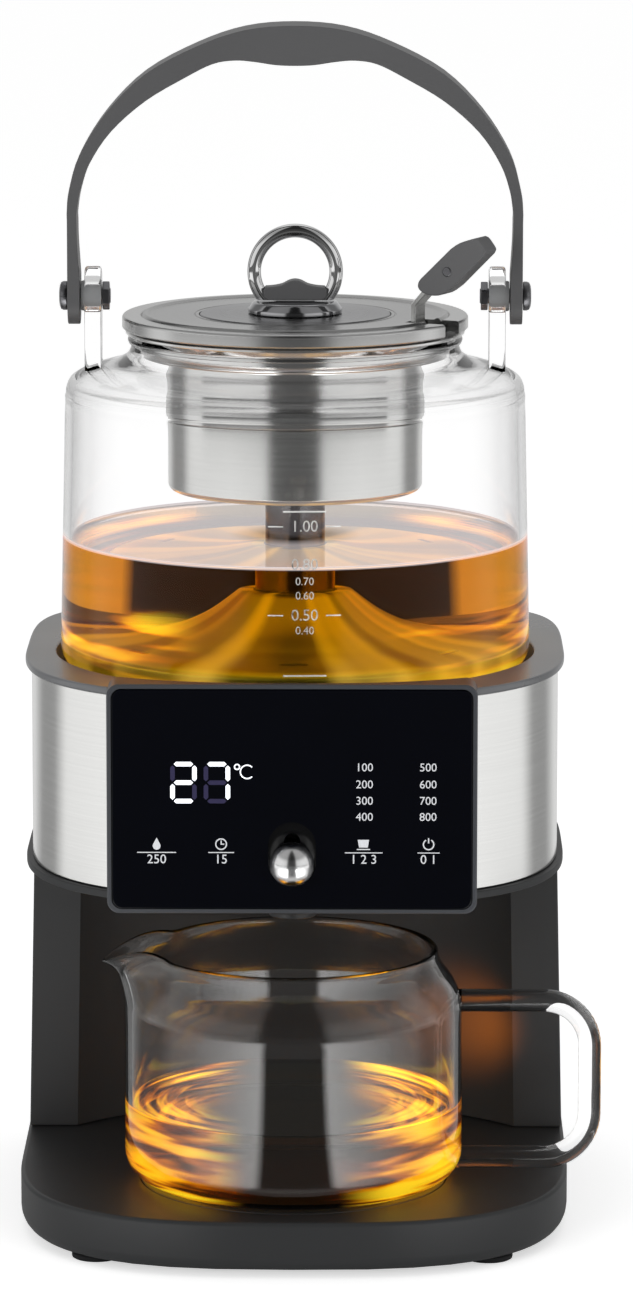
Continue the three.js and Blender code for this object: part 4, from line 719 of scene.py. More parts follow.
def column_ring(name, inset, low, high):
    """The column's outline: the head's back, with the carafe's niche cut out of its front."""
    front_y, niche_y = 13 + inset, -52
    half, niche = 89.4, 98 + inset
    back = [p for p in plan(half, 0, 87, 2.6, 88, 4.5, inset) if p[1] >= front_y]
    reach = math.degrees(math.asin((front_y - niche_y) / niche))
    front = arc(0, niche_y, niche, 180 - reach, reach, 56)
    corners = [[(end[0], front_y)] if end[1] > front_y else [] for end in (back[0], back[-1])]
    obj = slab(name, [*corners[0], *back, *corners[1], *front], low, high)
    opened(obj, "DESELECT")
    mesh = bmesh.from_edit_mesh(obj.data)
    for corner in mesh.verts:
        corner.select = corner.co.z > (low + high) / 2 * MM
    mesh.select_flush(True)
    bmesh.update_edit_mesh(obj.data)
    # The sides lean in by 2.1 mm over the column's height of 96.8 mm.
    lean = 1 - 2.1 / half * (high - low) / 96.8
    bpy.ops.transform.resize(value=(lean, 1, 1), center_override=place(0, 0, 0))
    bpy.ops.object.mode_set(mode="OBJECT")
    return obj


class BREWER_OT_column(BrewerOperator, bpy.types.Operator):
    """Column behind the carafe, its rear door, the cord outlet and the water port"""

    bl_idname = "brewer.column"
    bl_label = "Column"

    def build(self, sizes):
        housing = rounded(column_ring("column_housing", 0, 18.6, 115.4), 0.7, 2, 60)
        combine(housing, column_ring("column_hollow", 2.4, 17, 117))
        walls = copied(housing, "rear_door")
        combine(housing, box_of("doorway", (-55, 79, 27), (55, 94, 105)))
        fitted(housing, "machine", "charcoal", "column_shell")

        door = combine(walls, box_of("door_blank", (-54.7, 79, 27.3), (54.7, 94, 104.7)), how="INTERSECT")
        for i in range(6):
            z = 62 + 7 * i
            vent = [*arc(-24.5, z + 1.5, 1.5, 90, 270, 6), *arc(24.5, z + 1.5, 1.5, -90, 90, 6)]
            combine(door, slab("vent", vent, 76, 94, "XZ"))
        combine(
            door,
            turned("inlet_hole", drum(4.3, 76, 94), WATER, "Y", 32),
            turned("outlet_hole", drum(7.3, 76, 94), CORD, "Y", 48),
        )
        fitted(door, "machine", "charcoal", "rear_cover")

        outlet = turned(
            "cord_outlet",
            [(0, 83.3), (7, 83.3), (7, 88.3), (8.8, 88.3), (9, 88.5), (8.9, 89.1), (8.2, 89.4), (6.4, 89.5),
             (6.1, 89.9), (4.3, 89.9), (3.8, 89.6), (3.7, 88.9), (3.7, 84.3), (0, 84.3)],
            CORD, "Y", 64,
        )
        fitted(outlet, "machine", "rubber", "cord_gland")
        port = turned(
            "water_port",
            [(0, 78.3), (4, 78.3), (4, 88.3), (6.3, 88.3), (6.5, 88.5), (6.5, 89.2), (6.1, 89.6), (4.4, 89.6),
             (4.1, 89.9), (2.6, 89.9), (2.2, 89.5), (2.2, 80.7), (0, 80.7)],
            WATER, "Y", 48,
        )
        fitted(port, "machine", "charcoal", "water_inlet")


class BREWER_OT_head(BrewerOperator, bpy.types.Operator):
    """Head: underside plate, brushed band, top deck with the kettle well, and the nozzle"""

    bl_idname = "brewer.head"
    bl_label = "Head"

    def build(self, sizes):
        under = rounded(slab("head_base", head_plan(), 115.7, 118.2), 0.45)
        combine(
            under,
            box_of("hose_port", (-50, 57, 112), (50, 79, 122)),
            turned("nozzle_hole", drum(8.3, 112, 122), NOZZLE, steps=48),
        )
        fitted(under, "machine", "charcoal", "head_underside")

        band = rounded(slab("brushed_band", head_plan(2), 118.5, 181.7), sizes.sheet_round / MM, 2)
        combine(
            band,
            slab("band_hollow", head_plan(3), 112, 190),
            box_of("panel_bay", (-59.15, -100, 112), (59.15, 0, 190)),
        )
        fitted(band, "machine", "band", "steel_band")

        deck = rounded(slab("top_deck", head_plan(), 182, 184.5), 0.8, 4)
        well = turned("well_wall", [(56, 173), (80.8, 173), (80.8, 183.6), (77, 183.6), (77, 175), (56, 175)])
        combine(deck, well, how="UNION")
        mouth = [(0, 175), (78.6, 175), *arc(79.5, 183.6, 0.9, 180, 90, 5), (79.5, 190), (0, 190)]
        combine(deck, turned("well_mouth", mouth))
        fitted(deck, "machine", "collar", "top_collar")

        heater = turned(
            "heater_disc",
            [(14.3, 175.3), (62, 175.3), (62, 176.5), (61.8, 176.7), (47, 176.7), (46.6, 176.5), (45.6, 176.5),
             (45.2, 176.7), (14.5, 176.7), (14.3, 176.5)],
        )
        fitted(heater, "machine", "heater", "heater_plate")

        nozzle = turned(
            "drip_nozzle",
            [(6.4, 118.2), (8, 118.2), (8, 111.4), (7.8, 110.9), (7.6, 110.6), (7.6, 109.5), (7.3, 109.2),
             (6.7, 109.2), (6.4, 109.5)],
            NOZZLE, steps=64,
        )
        fitted(nozzle, "machine", "charcoal", "outlet_nozzle")


SEGMENTS = {
    "0": "abcdef", "1": "bc", "2": "abged", "3": "abgcd", "4": "fgbc",
    "5": "afgcd", "6": "afgedc", "7": "abc", "8": "abcdefg", "9": "abcdfg",
}
# How far a mark's back, the front of printed ink and the front of a lamp stand off the panel's face.
BACK, INK, LAMP = 0.02, 0.08, 0.12


def on_panel(name, outline, reach=INK):
    """A thin mark on the panel's face."""
    return slab(name, outline, PANEL_FACE - reach, PANEL_FACE - BACK, "XZ")


def ring_on_panel(name, x, z, inner, outer, reach=INK):
    """A thin ring on the panel's face."""
    front, back = PANEL_FACE - reach, PANEL_FACE - BACK
    return turned(name, [(inner, front), (outer, front), (outer, back), (inner, back)], (x, z), "Y", 32)


def segment(which, left, bottom):
    """One bar of a seven-segment figure, a flat six-sided tile on the panel's face."""
    width, height, half, gap = 8.4, 13.4, 0.725, 0.42
    right, top, mid = left + width, bottom + height, bottom + height / 2
    level = {"a": top - half, "g": mid, "d": bottom + half}
    if which in level:
        z = level[which]
        start, end = left + half + gap, right - half - gap
        outline = [(start, z), (start + half, z - half), (end - half, z - half), (end, z),
                   (end - half, z + half), (start + half, z + half)]
    else:
        x = left + half if which in "ef" else right - half
        low, high = (bottom + half + gap, mid - gap) if which in "ec" else (mid + gap, top - half - gap)
        outline = [(x, low), (x + half, low + half), (x + half, high - half), (x, high),
                   (x - half, high - half), (x - half, low + half)]
    return on_panel("bar", outline, LAMP)


def lettering(name, text, height, x, z, y=PANEL_FACE - BACK, thick=0.06):
    """Figures printed flat on a face that looks to the front."""
    clear()
    bpy.ops.object.text_add(location=(0, 0, 0))
    obj = bpy.context.object
    obj.name = name
    obj.data.body = text
    # A capital stands about seven tenths of the type's size.
    obj.data.size = height / 0.7 * MM
    obj.data.align_x = obj.data.align_y = "CENTER"
    obj.data.resolution_u = 4
    obj.data.extrude = thick / 2 * MM
    bpy.ops.object.convert(target="MESH")
    obj = bpy.context.object
    obj.rotation_euler = (math.radians(90), 0, 0)
    obj.location = place(x, y - thick / 2, z)
    return settle(obj)


class BREWER_OT_panel(BrewerOperator, bpy.types.Operator):
    """Control panel: bezel, black face, lit figures and printed legends"""

    bl_idname = "brewer.panel"
    bl_label = "Control Panel"

    def build(self, sizes):
        left, right, low, high = -58.85, 58.85, 114.3, 188.4

        def inside(wall, corner):
            return rounded_rectangle(left + wall, right - wall, low + wall, high - wall, corner)

        bezel = rounded(slab("panel_bezel", inside(0, 4), PANEL_FACE, -66, "XZ"), 0.5, 3, 60)
        combine(
            bezel,
            slab("glass_rebate", inside(1.4, 3.3), -96, -88.2, "XZ"),
            slab("bezel_bay", inside(2.6, 2.7), -96, -60, "XZ"),
            slab("head_form", head_plan(-0.3), 100, 200),
        )
        fitted(bezel, "machine", "bezel", "panel_frame")

        face = rounded(slab("panel_face", inside(1.7, 3.15), PANEL_FACE, -88.5, "XZ"), 0.25, 2, 60)
        combine(face, slab("recess_hole", obround(7.55, 123.3, 144), -96, -80, "XZ"))
        fitted(face, "machine", "panel", "panel_glass", smooth=30)

        self.figures(sizes)
        self.legends()

    def figures(self, sizes):
        """The temperature, its lit and unlit bars, and the sign for degrees."""
        lit_bars, dark_bars = [], []
        for text, left in zip(f"{sizes.shown_temperature:02d}", (-38.6, -28)):
            for which in "abcdefg":
                bars = lit_bars if which in SEGMENTS[text] else dark_bars
                bars.append(segment(which, left, 150.1))
        ring = ring_on_panel("degree_ring", -17.4, 161.9, 0.62, 1.0, LAMP)
        stroke = [*arc(-14.2, 160.3, 2.35, 45, 315, 24), *arc(-14.2, 160.3, 1.97, 315, 45, 24)]
        figures = joined("lit_digits", [*lit_bars, ring, on_panel("celsius", stroke, LAMP)])
        fitted(figures, "machine", "lamps", "digit_display", smooth=20)
        if dark_bars:
            ghosts = joined("unlit_bars", dark_bars)
            fitted(ghosts, "machine", "unlit", smooth=20)

    def legends(self):
        """What is printed: rules, signs and figures of the keys, and a list of amounts."""
        marks = []
        keys = (
            (-43, 6.2, self.drop, "250"), (-22.5, 4.1, self.clock, "15"),
            (22.8, 6, self.cup, "1 2 3"), (43.4, 3.5, self.power, "0 1"),
        )
        for x, half, icon, below in keys:
            marks.append(on_panel("key_rule", rectangle(x - half, x + half, 134.03, 134.33)))
            marks.append(lettering("key_figure", below, 2.9, x, 131.9))
            marks += icon(x, 136.9)
        for row, z in enumerate((161.7, 156.2, 150.9, 145.7), 1):
            for above, x in ((0, 23), (4, 43.2)):
                marks.append(lettering("list_figure", str(100 * (row + above)), 2.6, x, z))
        legends = joined("panel_legends", marks)
        fitted(legends, "machine", "ink", smooth=20)

    def drop(self, x, z):
        """Water key: a drop."""
        return [on_panel("icon", [*arc(x, z - 0.6, 1.25, 150, 390, 12), (x, z + 2.1)])]

    def clock(self, x, z):
        """Timer key: a ring with two hands."""
        hands = [(x - 0.18, z - 0.18), (x + 1, z - 0.18), (x + 1, z + 0.18), (x + 0.18, z + 0.18),
                 (x + 0.18, z + 1.2), (x - 0.18, z + 1.2)]
        return [ring_on_panel("icon", x, z, 1.5, 1.9), on_panel("icon", hands)]

    def cup(self, x, z):
        """Keep-warm key: a cup."""
        bowl = [(x - 1.9, z + 1.5), (x - 1.5, z - 1), (x + 1.3, z - 1), (x + 1.7, z + 1.5)]
        return [on_panel("icon", bowl), on_panel("icon", rectangle(x - 2.2, x + 2, z - 1.8, z - 1.45))]

    def power(self, x, z):
        """Power key: an open ring with a bar."""
        ring = [*arc(x, z, 1.85, 120, 420, 24), *arc(x, z, 1.45, 420, 120, 24)]
        return [on_panel("icon", ring), on_panel("icon", rectangle(x - 0.2, x + 0.2, z + 0.4, z + 2.1))]


class BREWER_OT_lever(BrewerOperator, bpy.types.Operator):
    """Ball lever in its recess"""

    bl_idname = "brewer.lever"
    bl_label = "Ball Lever"

    def build(self, sizes):
        cup = slab("lever_recess", obround(8.55, 122.3, 145), -88.2, -84.2, "XZ")
        combine(
            cup,
            slab("recess_hollow", obround(7.55, 123.3, 144), -96, -85.2, "XZ"),
            slab("stem_slot", obround(2.6, 128.6, 139.4), -96, -80, "XZ"),
        )
        fitted(cup, "machine", "recess", "lever_cup")
        height, radius = 131.2, 7.1
        side = arc(0, height, radius, -90, 90, 40)[1:-1]
        ball = turned("ball_knob", [(0, height - radius), *side, (0, height + radius)], BALL, steps=72)
        fitted(ball, "lever", "ball", "lever_ball", smooth=60)


def kettle_wall():
    """The kettle's wall as (radius, height) pairs: outside going up, lip, then inside coming down."""
    outer = [
        (9, 177), (67.25, 177), *arc(67.25, 187, 10, -80, 0, 9), (77.1, 193.5), (76.6, 215), (75.9, 245),
        (75.5, 263), (75.35, 267), *arc(73.5, 268.6, 1.85 + 0.1, 10, 30, 2),
    ]
    shoulder = eased([(75.0, 271.6), (73.9, 274.2), (71.2, 276), (67, 277.4), (60.5, 279.3), (56.4, 281.3),
                      (54.4, 283.2), (53.7, 285.2)], 3)
    lip = [(53.7, 286), (54.5, 286.4), *arc(54.0, 287.3, 0.8, -30, 60, 4), *arc(52.4, 287.6, 1.4, 80, 170, 5)]
    inside = eased([(51, 285), (51.4, 282.4), (53.4, 279.7), (58.5, 277.3), (65.5, 275.1), (70.2, 273.3),
                    (72.2, 270.6), (72.75, 266)], 3)
    floor = [(72.8, 263), (73.2, 245), (73.9, 215), (74.4, 193.5), *arc(67.25, 187, 7.3, 0, -90, 9), (9, 179.7)]
    return outer + shoulder + lip + inside + floor


class BREWER_OT_kettle(BrewerOperator, bpy.types.Operator):
    """Glass kettle with its two ears, the tea in it and its level marks"""

    bl_idname = "brewer.kettle"
    bl_label = "Kettle"

    def build(self, sizes):
        bowl = turned("kettle_bowl", kettle_wall(), steps=sizes.lathe_steps + 32)
        for side in (-1, 1):
            near, far = sorted((side * 63.25, side * 68.75))
            ear = slab("ear", [(6.8, 276.4), *arc(0, 304.2, 6.8, 0, 180, 24), (-6.8, 276.4)], near, far, "YZ")
            combine(rounded(ear, 1.1, 4, 60), turned("ear_hole", drum(5.25, near - 5, far + 5), PIVOT, "X", 48))
            combine(bowl, ear, how="UNION")
        bowl.visible_shadow = False
        fitted(bowl, "kettle", "glass", "kettle_glass", smooth=40)

        top = sizes.kettle_level / MM
        wall = 74.7 - (top - 187) * 0.0232
        tea = turned(
            "kettle_tea",
            [(0, 179.55), (67.25, 179.55), *arc(67.25, 187, 7.45, -80, 0, 8), (wall, top + 1.1),
             (wall - 0.4, top + 0.6), (wall - 1.3, top + 0.15), (wall - 3, top), (0, top)],
        )
        tea.visible_shadow = tea.visible_diffuse = False
        fitted(tea, "kettle", "kettle_tea", smooth=40)

        marks = []
        middle_x, gap, front = 4, 7, (MARK_FACE, MARK_FACE + 0.05, "XZ")
        for text, z, high, dash in (("1.00", 236.8, 3.6, 5), ("0.80", 224.6, 3.6, 0), ("0.70", 219.2, 2.5, 0),
                                    ("0.60", 214.6, 2.5, 0), ("0.50", 208.3, 3.6, 5), ("0.40", 203.4, 2.5, 0)):
            marks.append(lettering("level_figure", text, high, middle_x, z, MARK_FACE, 0.05))
            for side in (-1, 1) if dash else ():
                near, far = sorted((middle_x + side * gap, middle_x + side * (gap + dash)))
                marks.append(slab("level_dash", rectangle(near, far, z - 0.2, z + 0.2), *front))
        for z in (241.6, 188.9):
            bar = rectangle(middle_x - gap, middle_x + gap, z - 0.25, z + 0.25)
            marks.append(slab("level_bar", bar, *front))
        level = joined("level_marks", marks)
        shaped(
            level, "SHRINKWRAP", target=bowl, wrap_method="NEAREST_SURFACEPOINT", wrap_mode="ABOVE_SURFACE",
            offset=0.04 * MM,
        )
        fitted(level, "kettle", "mark", smooth=20)


class BREWER_OT_percolator(BrewerOperator, bpy.types.Operator):
    """Cone on the kettle's floor and the riser tube above it"""

    bl_idname = "brewer.percolator"
    bl_label = "Percolator"

    def build(self, sizes):
        # The cone's flare, as shares of its spread and of its height.
        shares = [(1, 0), (0.93, 0.07), (0.76, 0.14), (0.57, 0.21), (0.43, 0.32), (0.285, 0.45), (0.143, 0.67), (0, 1)]
        flare = eased([(13.9 + out * 47.7, 185 + up * 21) for out, up in shares], 4)
        cone = turned(
            "cone",
            [(60.8, 180), (61.6, 180), (61.6, 185), *[(r, z + 0.8) for r, z in flare[1:]], (10.4, 206.8), (10.4, 206),
             *flare[:0:-1], (60.8, 185)],
        )
        for i in range(6):
            slit = [*arc(50, 3.2, 1.3, 0, 180, 6), *arc(50, -3.2, 1.3, 180, 360, 6)]
            combine(cone, slab("cone_slot", slit, 170, 200, turn=60 * i + 30))
        fitted(cone, "kettle", "cone", "pump_cone", smooth=50)
        tube = turned(
            "riser",
            [(9.05, 198), (9.85, 198), (9.85, 269.4), (9.65, 269.9), (9.45, 270), (9.15, 269.8), (9.05, 269.4)],
            steps=64,
        )
        fitted(tube, "kettle", "tube", "riser_tube")


class BREWER_OT_pivots(BrewerOperator, bpy.types.Operator):
    """Bolt, sleeve and nut at each ear"""

    bl_idname = "brewer.pivots"
    bl_label = "Bail Pivots"

    def build(self, sizes):
        bolt = turned(
            "bolt_right",
            [(0, 60.35), (2.3, 60.35), (2.5, 60.6), (2.5, 74.5), (4.6, 74.5), (4.75, 74.7), (4.75, 75.7), (4.4, 76.5),
             (3.4, 76.95), (2.2, 77.1), (0, 77.1)],
            PIVOT, "X", 48,
        )
        combine(bolt, slab("bolt_socket", arc(*PIVOT, 1.7, 30, 330, 5), 76, 80, "YZ"))
        sleeve = turned(
            "sleeve_right",
            [(2.8, 63.25), (4.7, 63.25), (4.95, 63.5), (4.95, 69.5), (4.7, 69.9), (2.8, 69.9)], PIVOT, "X", 48,
        )
        nut = rounded(slab("nut_right", arc(*PIVOT, 4.75, 90, -210, 5), 60.65, 62.95, "YZ"), 0.3, 2)
        combine(nut, turned("nut_hole", drum(2.8, 50, 70), PIVOT, "X", 32))
        for part, node, name in ((bolt, "pivot_bolt", "dark_steel"), (sleeve, "pivot_sleeve", "sleeve"),
                                 (nut, "pivot_nut", "dark_steel")):
            other = mirrored(part, part.name.replace("right", "left"))
            fitted(part, "kettle", name, node + "_right")
            fitted(other, "kettle", name, node + "_left")


class BREWER_OT_bail(BrewerOperator, bpy.types.Operator):
    """Arched handle of the kettle"""

    bl_idname = "brewer.bail"
    bl_label = "Bail"

    def build(self, sizes):
        # Half of the arch's outer and inner lines, as shares of half its width and of its height above the knee.
        outer_shares = [(1.0, 0.06), (0.99, 0.165), (0.943, 0.345), (0.825, 0.56), (0.654, 0.755), (0.426, 0.897),
                        (0.217, 0.978), (0, 1)]
        inner_shares = [(1.012, 0.06), (0.995, 0.2), (0.95, 0.375), (0.85, 0.58), (0.69, 0.775), (0.505, 0.925),
                        (0.38, 1.01), (0.28, 1.033), (0.19, 1.025), (0.09, 1.005), (0, 1)]
        outside, inside, knee = 74.2, 70.2, 326
        outer = [(outside, 318), (outside, knee)] + [(outside * out, knee + 64.2 * up) for out, up in outer_shares]
        inner = [(inside, 308), (70.9, 319), (71.05, knee)]
        inner += [(inside * out, knee + 51.2 * up) for out, up in inner_shares]

        def whole(half):
            return eased([*half, *[(-x, z) for x, z in half[-2::-1]]], 4)

        outline = [(outside, 290), *whole(outer), (-outside, 290), (-inside, 290), *whole(inner)[::-1], (inside, 290)]
        arch = slab("bail_arch", outline, -16, 16, "XZ")
        side = [*arc(0, 300, 8, 180, 360, 24), (8, 326), (8.6, 345), (10, 372), (10, 396), (-10, 396), (-10, 372),
                (-8.6, 345), (-8, 326)]
        combine(arch, slab("bail_side", side, -90, 90, "YZ"), how="INTERSECT")
        combine(rounded(arch, 1.1, 4, 50), turned("bail_hole", drum(2.8, -90, 90), PIVOT, "X", 32))
        fitted(arch, "bail", "bail", "bail_handle", smooth=40)


class BREWER_OT_basket(BrewerOperator, bpy.types.Operator):
    """Infuser basket: rim, strainer cup, and the strip with its grip and rivet"""

    bl_idname = "brewer.basket"
    bl_label = "Infuser Basket"

    def build(self, sizes):
        cup = turned(
            "strainer_cup",
            [(10.45, 238), (39.6, 238), *arc(39.6, 240.1, 2.1, -70, 0, 5), (41.7, 262.9), (41.4, 263.4), (41, 263.6),
             (40.6, 263.6), (40.6, 268.2), (40.4, 268.3), (39.8, 268.1), (39.8, 262.8), (40.9, 262), (40.9, 240.4),
             (40.2, 239.3), (39.3, 238.8), (11.25, 238.8), (11.25, 257.7), (10.85, 258), (10.45, 257.7)],
        )
        for centre in arc(0, 0, 27, 0, 315, 7):
            combine(cup, turned("drain_hole", drum(1.6, 234, 242), centre, steps=16))
        fitted(cup, "infuser_cup", "cup", "basket_cup")

        rim = turned(
            "basket_ring",
            [(41.2, 263.9), (41.7, 263.9), (42, 264.2), (42, 278.6), (42.4, 279.3), (48.4, 280.7),
             *arc(48.6, 282.5, 1.8, -80, 0, 5), (50.4, 289), (50.7, 289.3), (55.2, 289.3), (55.5, 289.6),
             (55.5, 290.2), (55.2, 290.5), (50.2, 290.5), (49.6, 290.0), (49.6, 282.8), (48.7, 281.7),
             (41.7, 280.1), (41.2, 279.4)],
        )
        fitted(rim, "basket", "rim", "basket_rim")

        bent = [(43.45, 281.9), (44.95, 281.9), (44.95, 300.7), (50.62, 307.1), (49.38, 308.1), (43.45, 301.3)]
        strip = rounded(slab("handle_strip", bent, -4, 4, "XZ", STRIP_TURN), 0.3, 2)
        fitted(strip, "basket", "sheet", "basket_handle_strip")

        side = [
            *eased([(45.9, 307.6), (46.1, 306.6), (47.5, 305.2), (50.4, 304.4), (54.6, 304.9), (58.6, 307.6)], 3),
            *eased([(69.4, 318.2), (70, 319.4), (69.7, 320.4), (67.7, 323), (66.7, 323.6), (65.6, 323.6),
                    (60.6, 321.9), (57.4, 319.8)], 3),
            *eased([(46.9, 309.7), (46.2, 308.7), (45.9, 307.6)], 3)[:-1],
        ]
        grip = rounded(slab("handle_grip", side, -4.5, 4.5, "XZ", STRIP_TURN), 1.2, 4, 60)
        pocket = [(43.1, 281), (45.3, 281), (45.3, 300.6), (51.1, 307.1), (49.3, 308.6), (43.1, 301.5)]
        combine(grip, slab("strip_pocket", pocket, -4.3, 4.3, "XZ", STRIP_TURN))
        fitted(grip, "basket", "grip", "basket_grip")

        # The rivet stands where the frame has it, on the strip's own line.
        x, y, z = middle("grip_rivet")
        reach = math.hypot(x - AXIS[0], y - AXIS[1]) / MM
        rivet = slab("rivet", arc(reach, z / MM, 1.6, 0, 345, 23), -4.85, 4.85, "XZ", STRIP_TURN)
        fitted(rounded(rivet, 0.4, 3, 60), "basket", "dark_steel", "grip_rivet")


class BREWER_OT_lid(BrewerOperator, bpy.types.Operator):
    """Lid with its seal, centre disc and ring knob"""

    bl_idname = "brewer.lid"
    bl_label = "Lid"

    def build(self, sizes):
        def notch(name):
            return box_of(name, (42, -5.3, 280), (70, 5.3, 300), STRIP_TURN)

        pan = turned(
            "lid_pan",
            [(0, 293.1), (46.9, 293.1), (46.9, 286.3), (47.1, 286.1), (47.5, 286.1), (47.7, 286.3), (47.7, 291.9),
             (54.7, 291.9), (55.5, 291.1), (56.2, 291.1), (56.6, 291.5), (56.6, 294.4), *arc(55.6, 294.4, 1, 10, 90, 4),
             (51, 295.4), (50.6, 295.3), (50.3, 294.9), (50, 295.2), (49.6, 295.8), (49.2, 296), (48.6, 295.9),
             (48, 295.5), (47.4, 295.4), (33.2, 295.4), (33, 295.1), (32.7, 295.1), (32.5, 295.4), (31.5, 295.4),
             (31.5, 294.1), (0, 294.1)],
        )
        combine(pan, notch("lid_notch"))
        fitted(pan, "lid", "lid", "lid_plate", smooth=30)

        seal = turned("lid_seal", [(48, 288.2), (48.6, 288.4), (48.9, 289.1), (48.9, 291.6), (48, 291.6)])
        combine(seal, notch("seal_notch"))
        fitted(seal, "lid", "silicone", "lid_gasket")

        disc = turned("medallion", [(0, 294.4), (31, 294.4), (31.2, 294.6), (31.2, 295.4), (30.9, 295.7), (0, 295.7)])
        fitted(disc, "lid", "disc", "lid_disc")

        foot = turned(
            "knob_base",
            [(0, 296), (15.2, 296), (15.4, 296.2), (15.4, 297.1), (15.2, 297.5), (14.1, 299), (13.6, 299.5),
             (12.9, 299.8), (0, 299.8)],
            steps=96,
        )
        fitted(foot, "lid", "dark_chrome", "knob_foot")

        ring = turned("hoop", arc(13.4, 0, 2.25, 0, 352.5, 47), KNOB_RING, "Y", 96)
        combine(ring, box_of("below_seat", (-20, -10, 280), (20, 10, 300.1)))
        fitted(ring, "lid", "chrome", "knob_ring", smooth=50)

        crest = eased([(9.6, 304.4), (7, 304.6), (4.2, 305.2), (2, 306.3), (0, 306.7), (-2, 306.3), (-4.2, 305.2),
                       (-7, 304.6), (-9.6, 304.4)], 4)
        outline = [*arc(8.6, 302, 1.8, -90, 0, 5), (10.4, 303.6), *crest, (-10.4, 303.6),
                   *arc(-8.6, 302, 1.8, 180, 270, 5)]
        saddle = rounded(slab("yoke", outline, -3.4, 3.4, "XZ"), 0.5, 3, 60)
        combine(saddle, turned("hoop_seat", arc(13.4, 0, 2.5, 0, 345, 23), KNOB_RING, "Y", 96))
        # The seat's cut leaves crumbs beside the yoke.
        opened(saddle)
        bpy.ops.mesh.separate(type="LOOSE")
        bpy.ops.object.mode_set(mode="OBJECT")
        yoke, *crumbs = sorted(bpy.context.selected_objects, key=lambda piece: -piece.dimensions.x)
        for crumb in crumbs:
            bpy.data.objects.remove(crumb)
        yoke.name = "yoke"
        fitted(yoke, "lid", "bail", "knob_saddle")


def carafe_wall():
    """The carafe's wall as (radius, height) pairs: outside going up, rim, then inside coming down."""
    shares = [(0, 0), (0.12, 0.22), (0.4, 0.45), (0.72, 0.64), (0.93, 0.8), (1, 0.93)]

    def shoulder(inset):
        return eased([(54.9 - inset, 70), *[(54.9 - inset - run * 7.8, 76 + up * 18.5) for run, up in shares]], 4)

    rim = arc(45.95, 93.6, 1.15, 10, 170, 6)
    return [
        (0, 18.9), (45.9, 18.9), *arc(45.9, 27.9, 9, -80, 0, 9), (54.9, 48), *shoulder(0), *rim,
        *shoulder(2.3)[::-1], (52.6, 48), *arc(45.9, 27.9, 6.7, 0, -60, 6), (40, 21.9), (0, 21.9),
    ]


class BREWER_OT_carafe(BrewerOperator, bpy.types.Operator):
    """Glass carafe with its drawn spout and rod handle, and the tea in it"""

    bl_idname = "brewer.carafe"
    bl_label = "Carafe"

    def build(self, sizes):
        vessel = turned("carafe_bowl", carafe_wall(), PLATE, steps=160)
        # The spout is drawn out of the shoulder on the left, over 34 degrees to each side.
        axis = place(*PLATE, 0)
        for corner in vessel.data.vertices:
            x, y, z = (corner.co - axis) / MM
            away = abs(math.atan2(y, -x)) / math.radians(34)
            up = (z - 76) / 18.5
            if away < 1 and up > 0:
                centre = 0.5 + 0.5 * math.cos(math.pi * away)
                side = math.sin(math.pi * away) ** 2
                drawn = min(up, 1) ** 1.6
                corner.co.x -= 15.5 * centre**1.5 * drawn * MM
                corner.co.z -= drawn * (4.6 * centre**2 - 2.3 * side) * MM

        high, low, reach, start, bend = 77, 24.6, 96.5, 53.7, 15
        path = [(start, high), (70, high), *arc(reach - bend, high - bend, bend, 90, 0, 12), (reach, 50),
                *arc(reach - bend, low + bend, bend, 0, -90, 12), (64, low), (start - 2.3, low)]
        path = [place(x, PLATE_Y, z) for x, z in path]
        begin("carafe_rod", path[0])
        draw(path)
        bpy.ops.object.mode_set(mode="OBJECT")
        bpy.ops.object.convert(target="CURVE")
        rod = bpy.context.object.data
        rod.bevel_depth, rod.bevel_resolution, rod.use_fill_caps = 3.7 * MM, 8, True
        bpy.ops.object.convert(target="MESH")
        handle = settle(bpy.context.object)
        core = turned(
            "carafe_core",
            [(0, 18.9), (44.8, 18.9), *arc(45.9, 27.9, 7.85, -60, 0, 6), (53.75, 76), (53.75, 100), (0, 100)],
            PLATE,
        )
        combine(handle, core)
        combine(vessel, handle, how="UNION")
        vessel.visible_shadow = False
        fitted(vessel, "carafe", "thick_glass", "carafe_glass", smooth=40)

        top = sizes.carafe_level / MM
        tea = turned(
            "carafe_tea",
            [(0, 21.75), (40, 21.75), *arc(45.9, 27.9, 6.85, -60, 0, 6), (52.75, top + 0.9), (52.3, top + 0.45),
             (51.5, top + 0.1), (50, top), (0, top)],
            PLATE,
        )
        tea.visible_shadow = tea.visible_diffuse = False
        fitted(tea, "carafe", "carafe_tea", smooth=40)


# How bright the cards are, by the way round the brewer: 0 is towards the camera, 1 behind.
FAR_CARDS = [(0, 0.05), (0.11, 0.06), (0.15, 0.78), (0.33, 0.92), (0.6, 0.84), (0.67, 0.27), (0.77, 0.27), (0.86, 0.7)]
NEAR_CARDS = [(0, 0.03), (0.085, 0.03), (0.11, 1), (0.2, 0.7), (0.34, 0.3), (0.5, 0.06), (0.62, 0.03), (0.7, 0.08)]
# Soft lamps out of the picture: where each stands in metres, its watts and its width and height.
LAMPS = {
    "key_lamp": ((-1.0, -1.6, 0.5), 11, (0.9, 0.8)),
    "fill_lamp": ((1.1, -1.5, 0.45), 7, (0.9, 0.8)),
    "top_lamp": ((0, 0.1, 1.5), 2.5, (1.2, 1.2)),
}
LAMPS_AIM = Vector((0, 0, 0.18))
CAMERA_PLACE, CAMERA_PITCH, CAMERA_YAW = (24, -2100, 554), 80, 0.65
CAMERA_LENS, CAMERA_FILM, CAMERA_SHIFT = 178.9, 36, 0.016


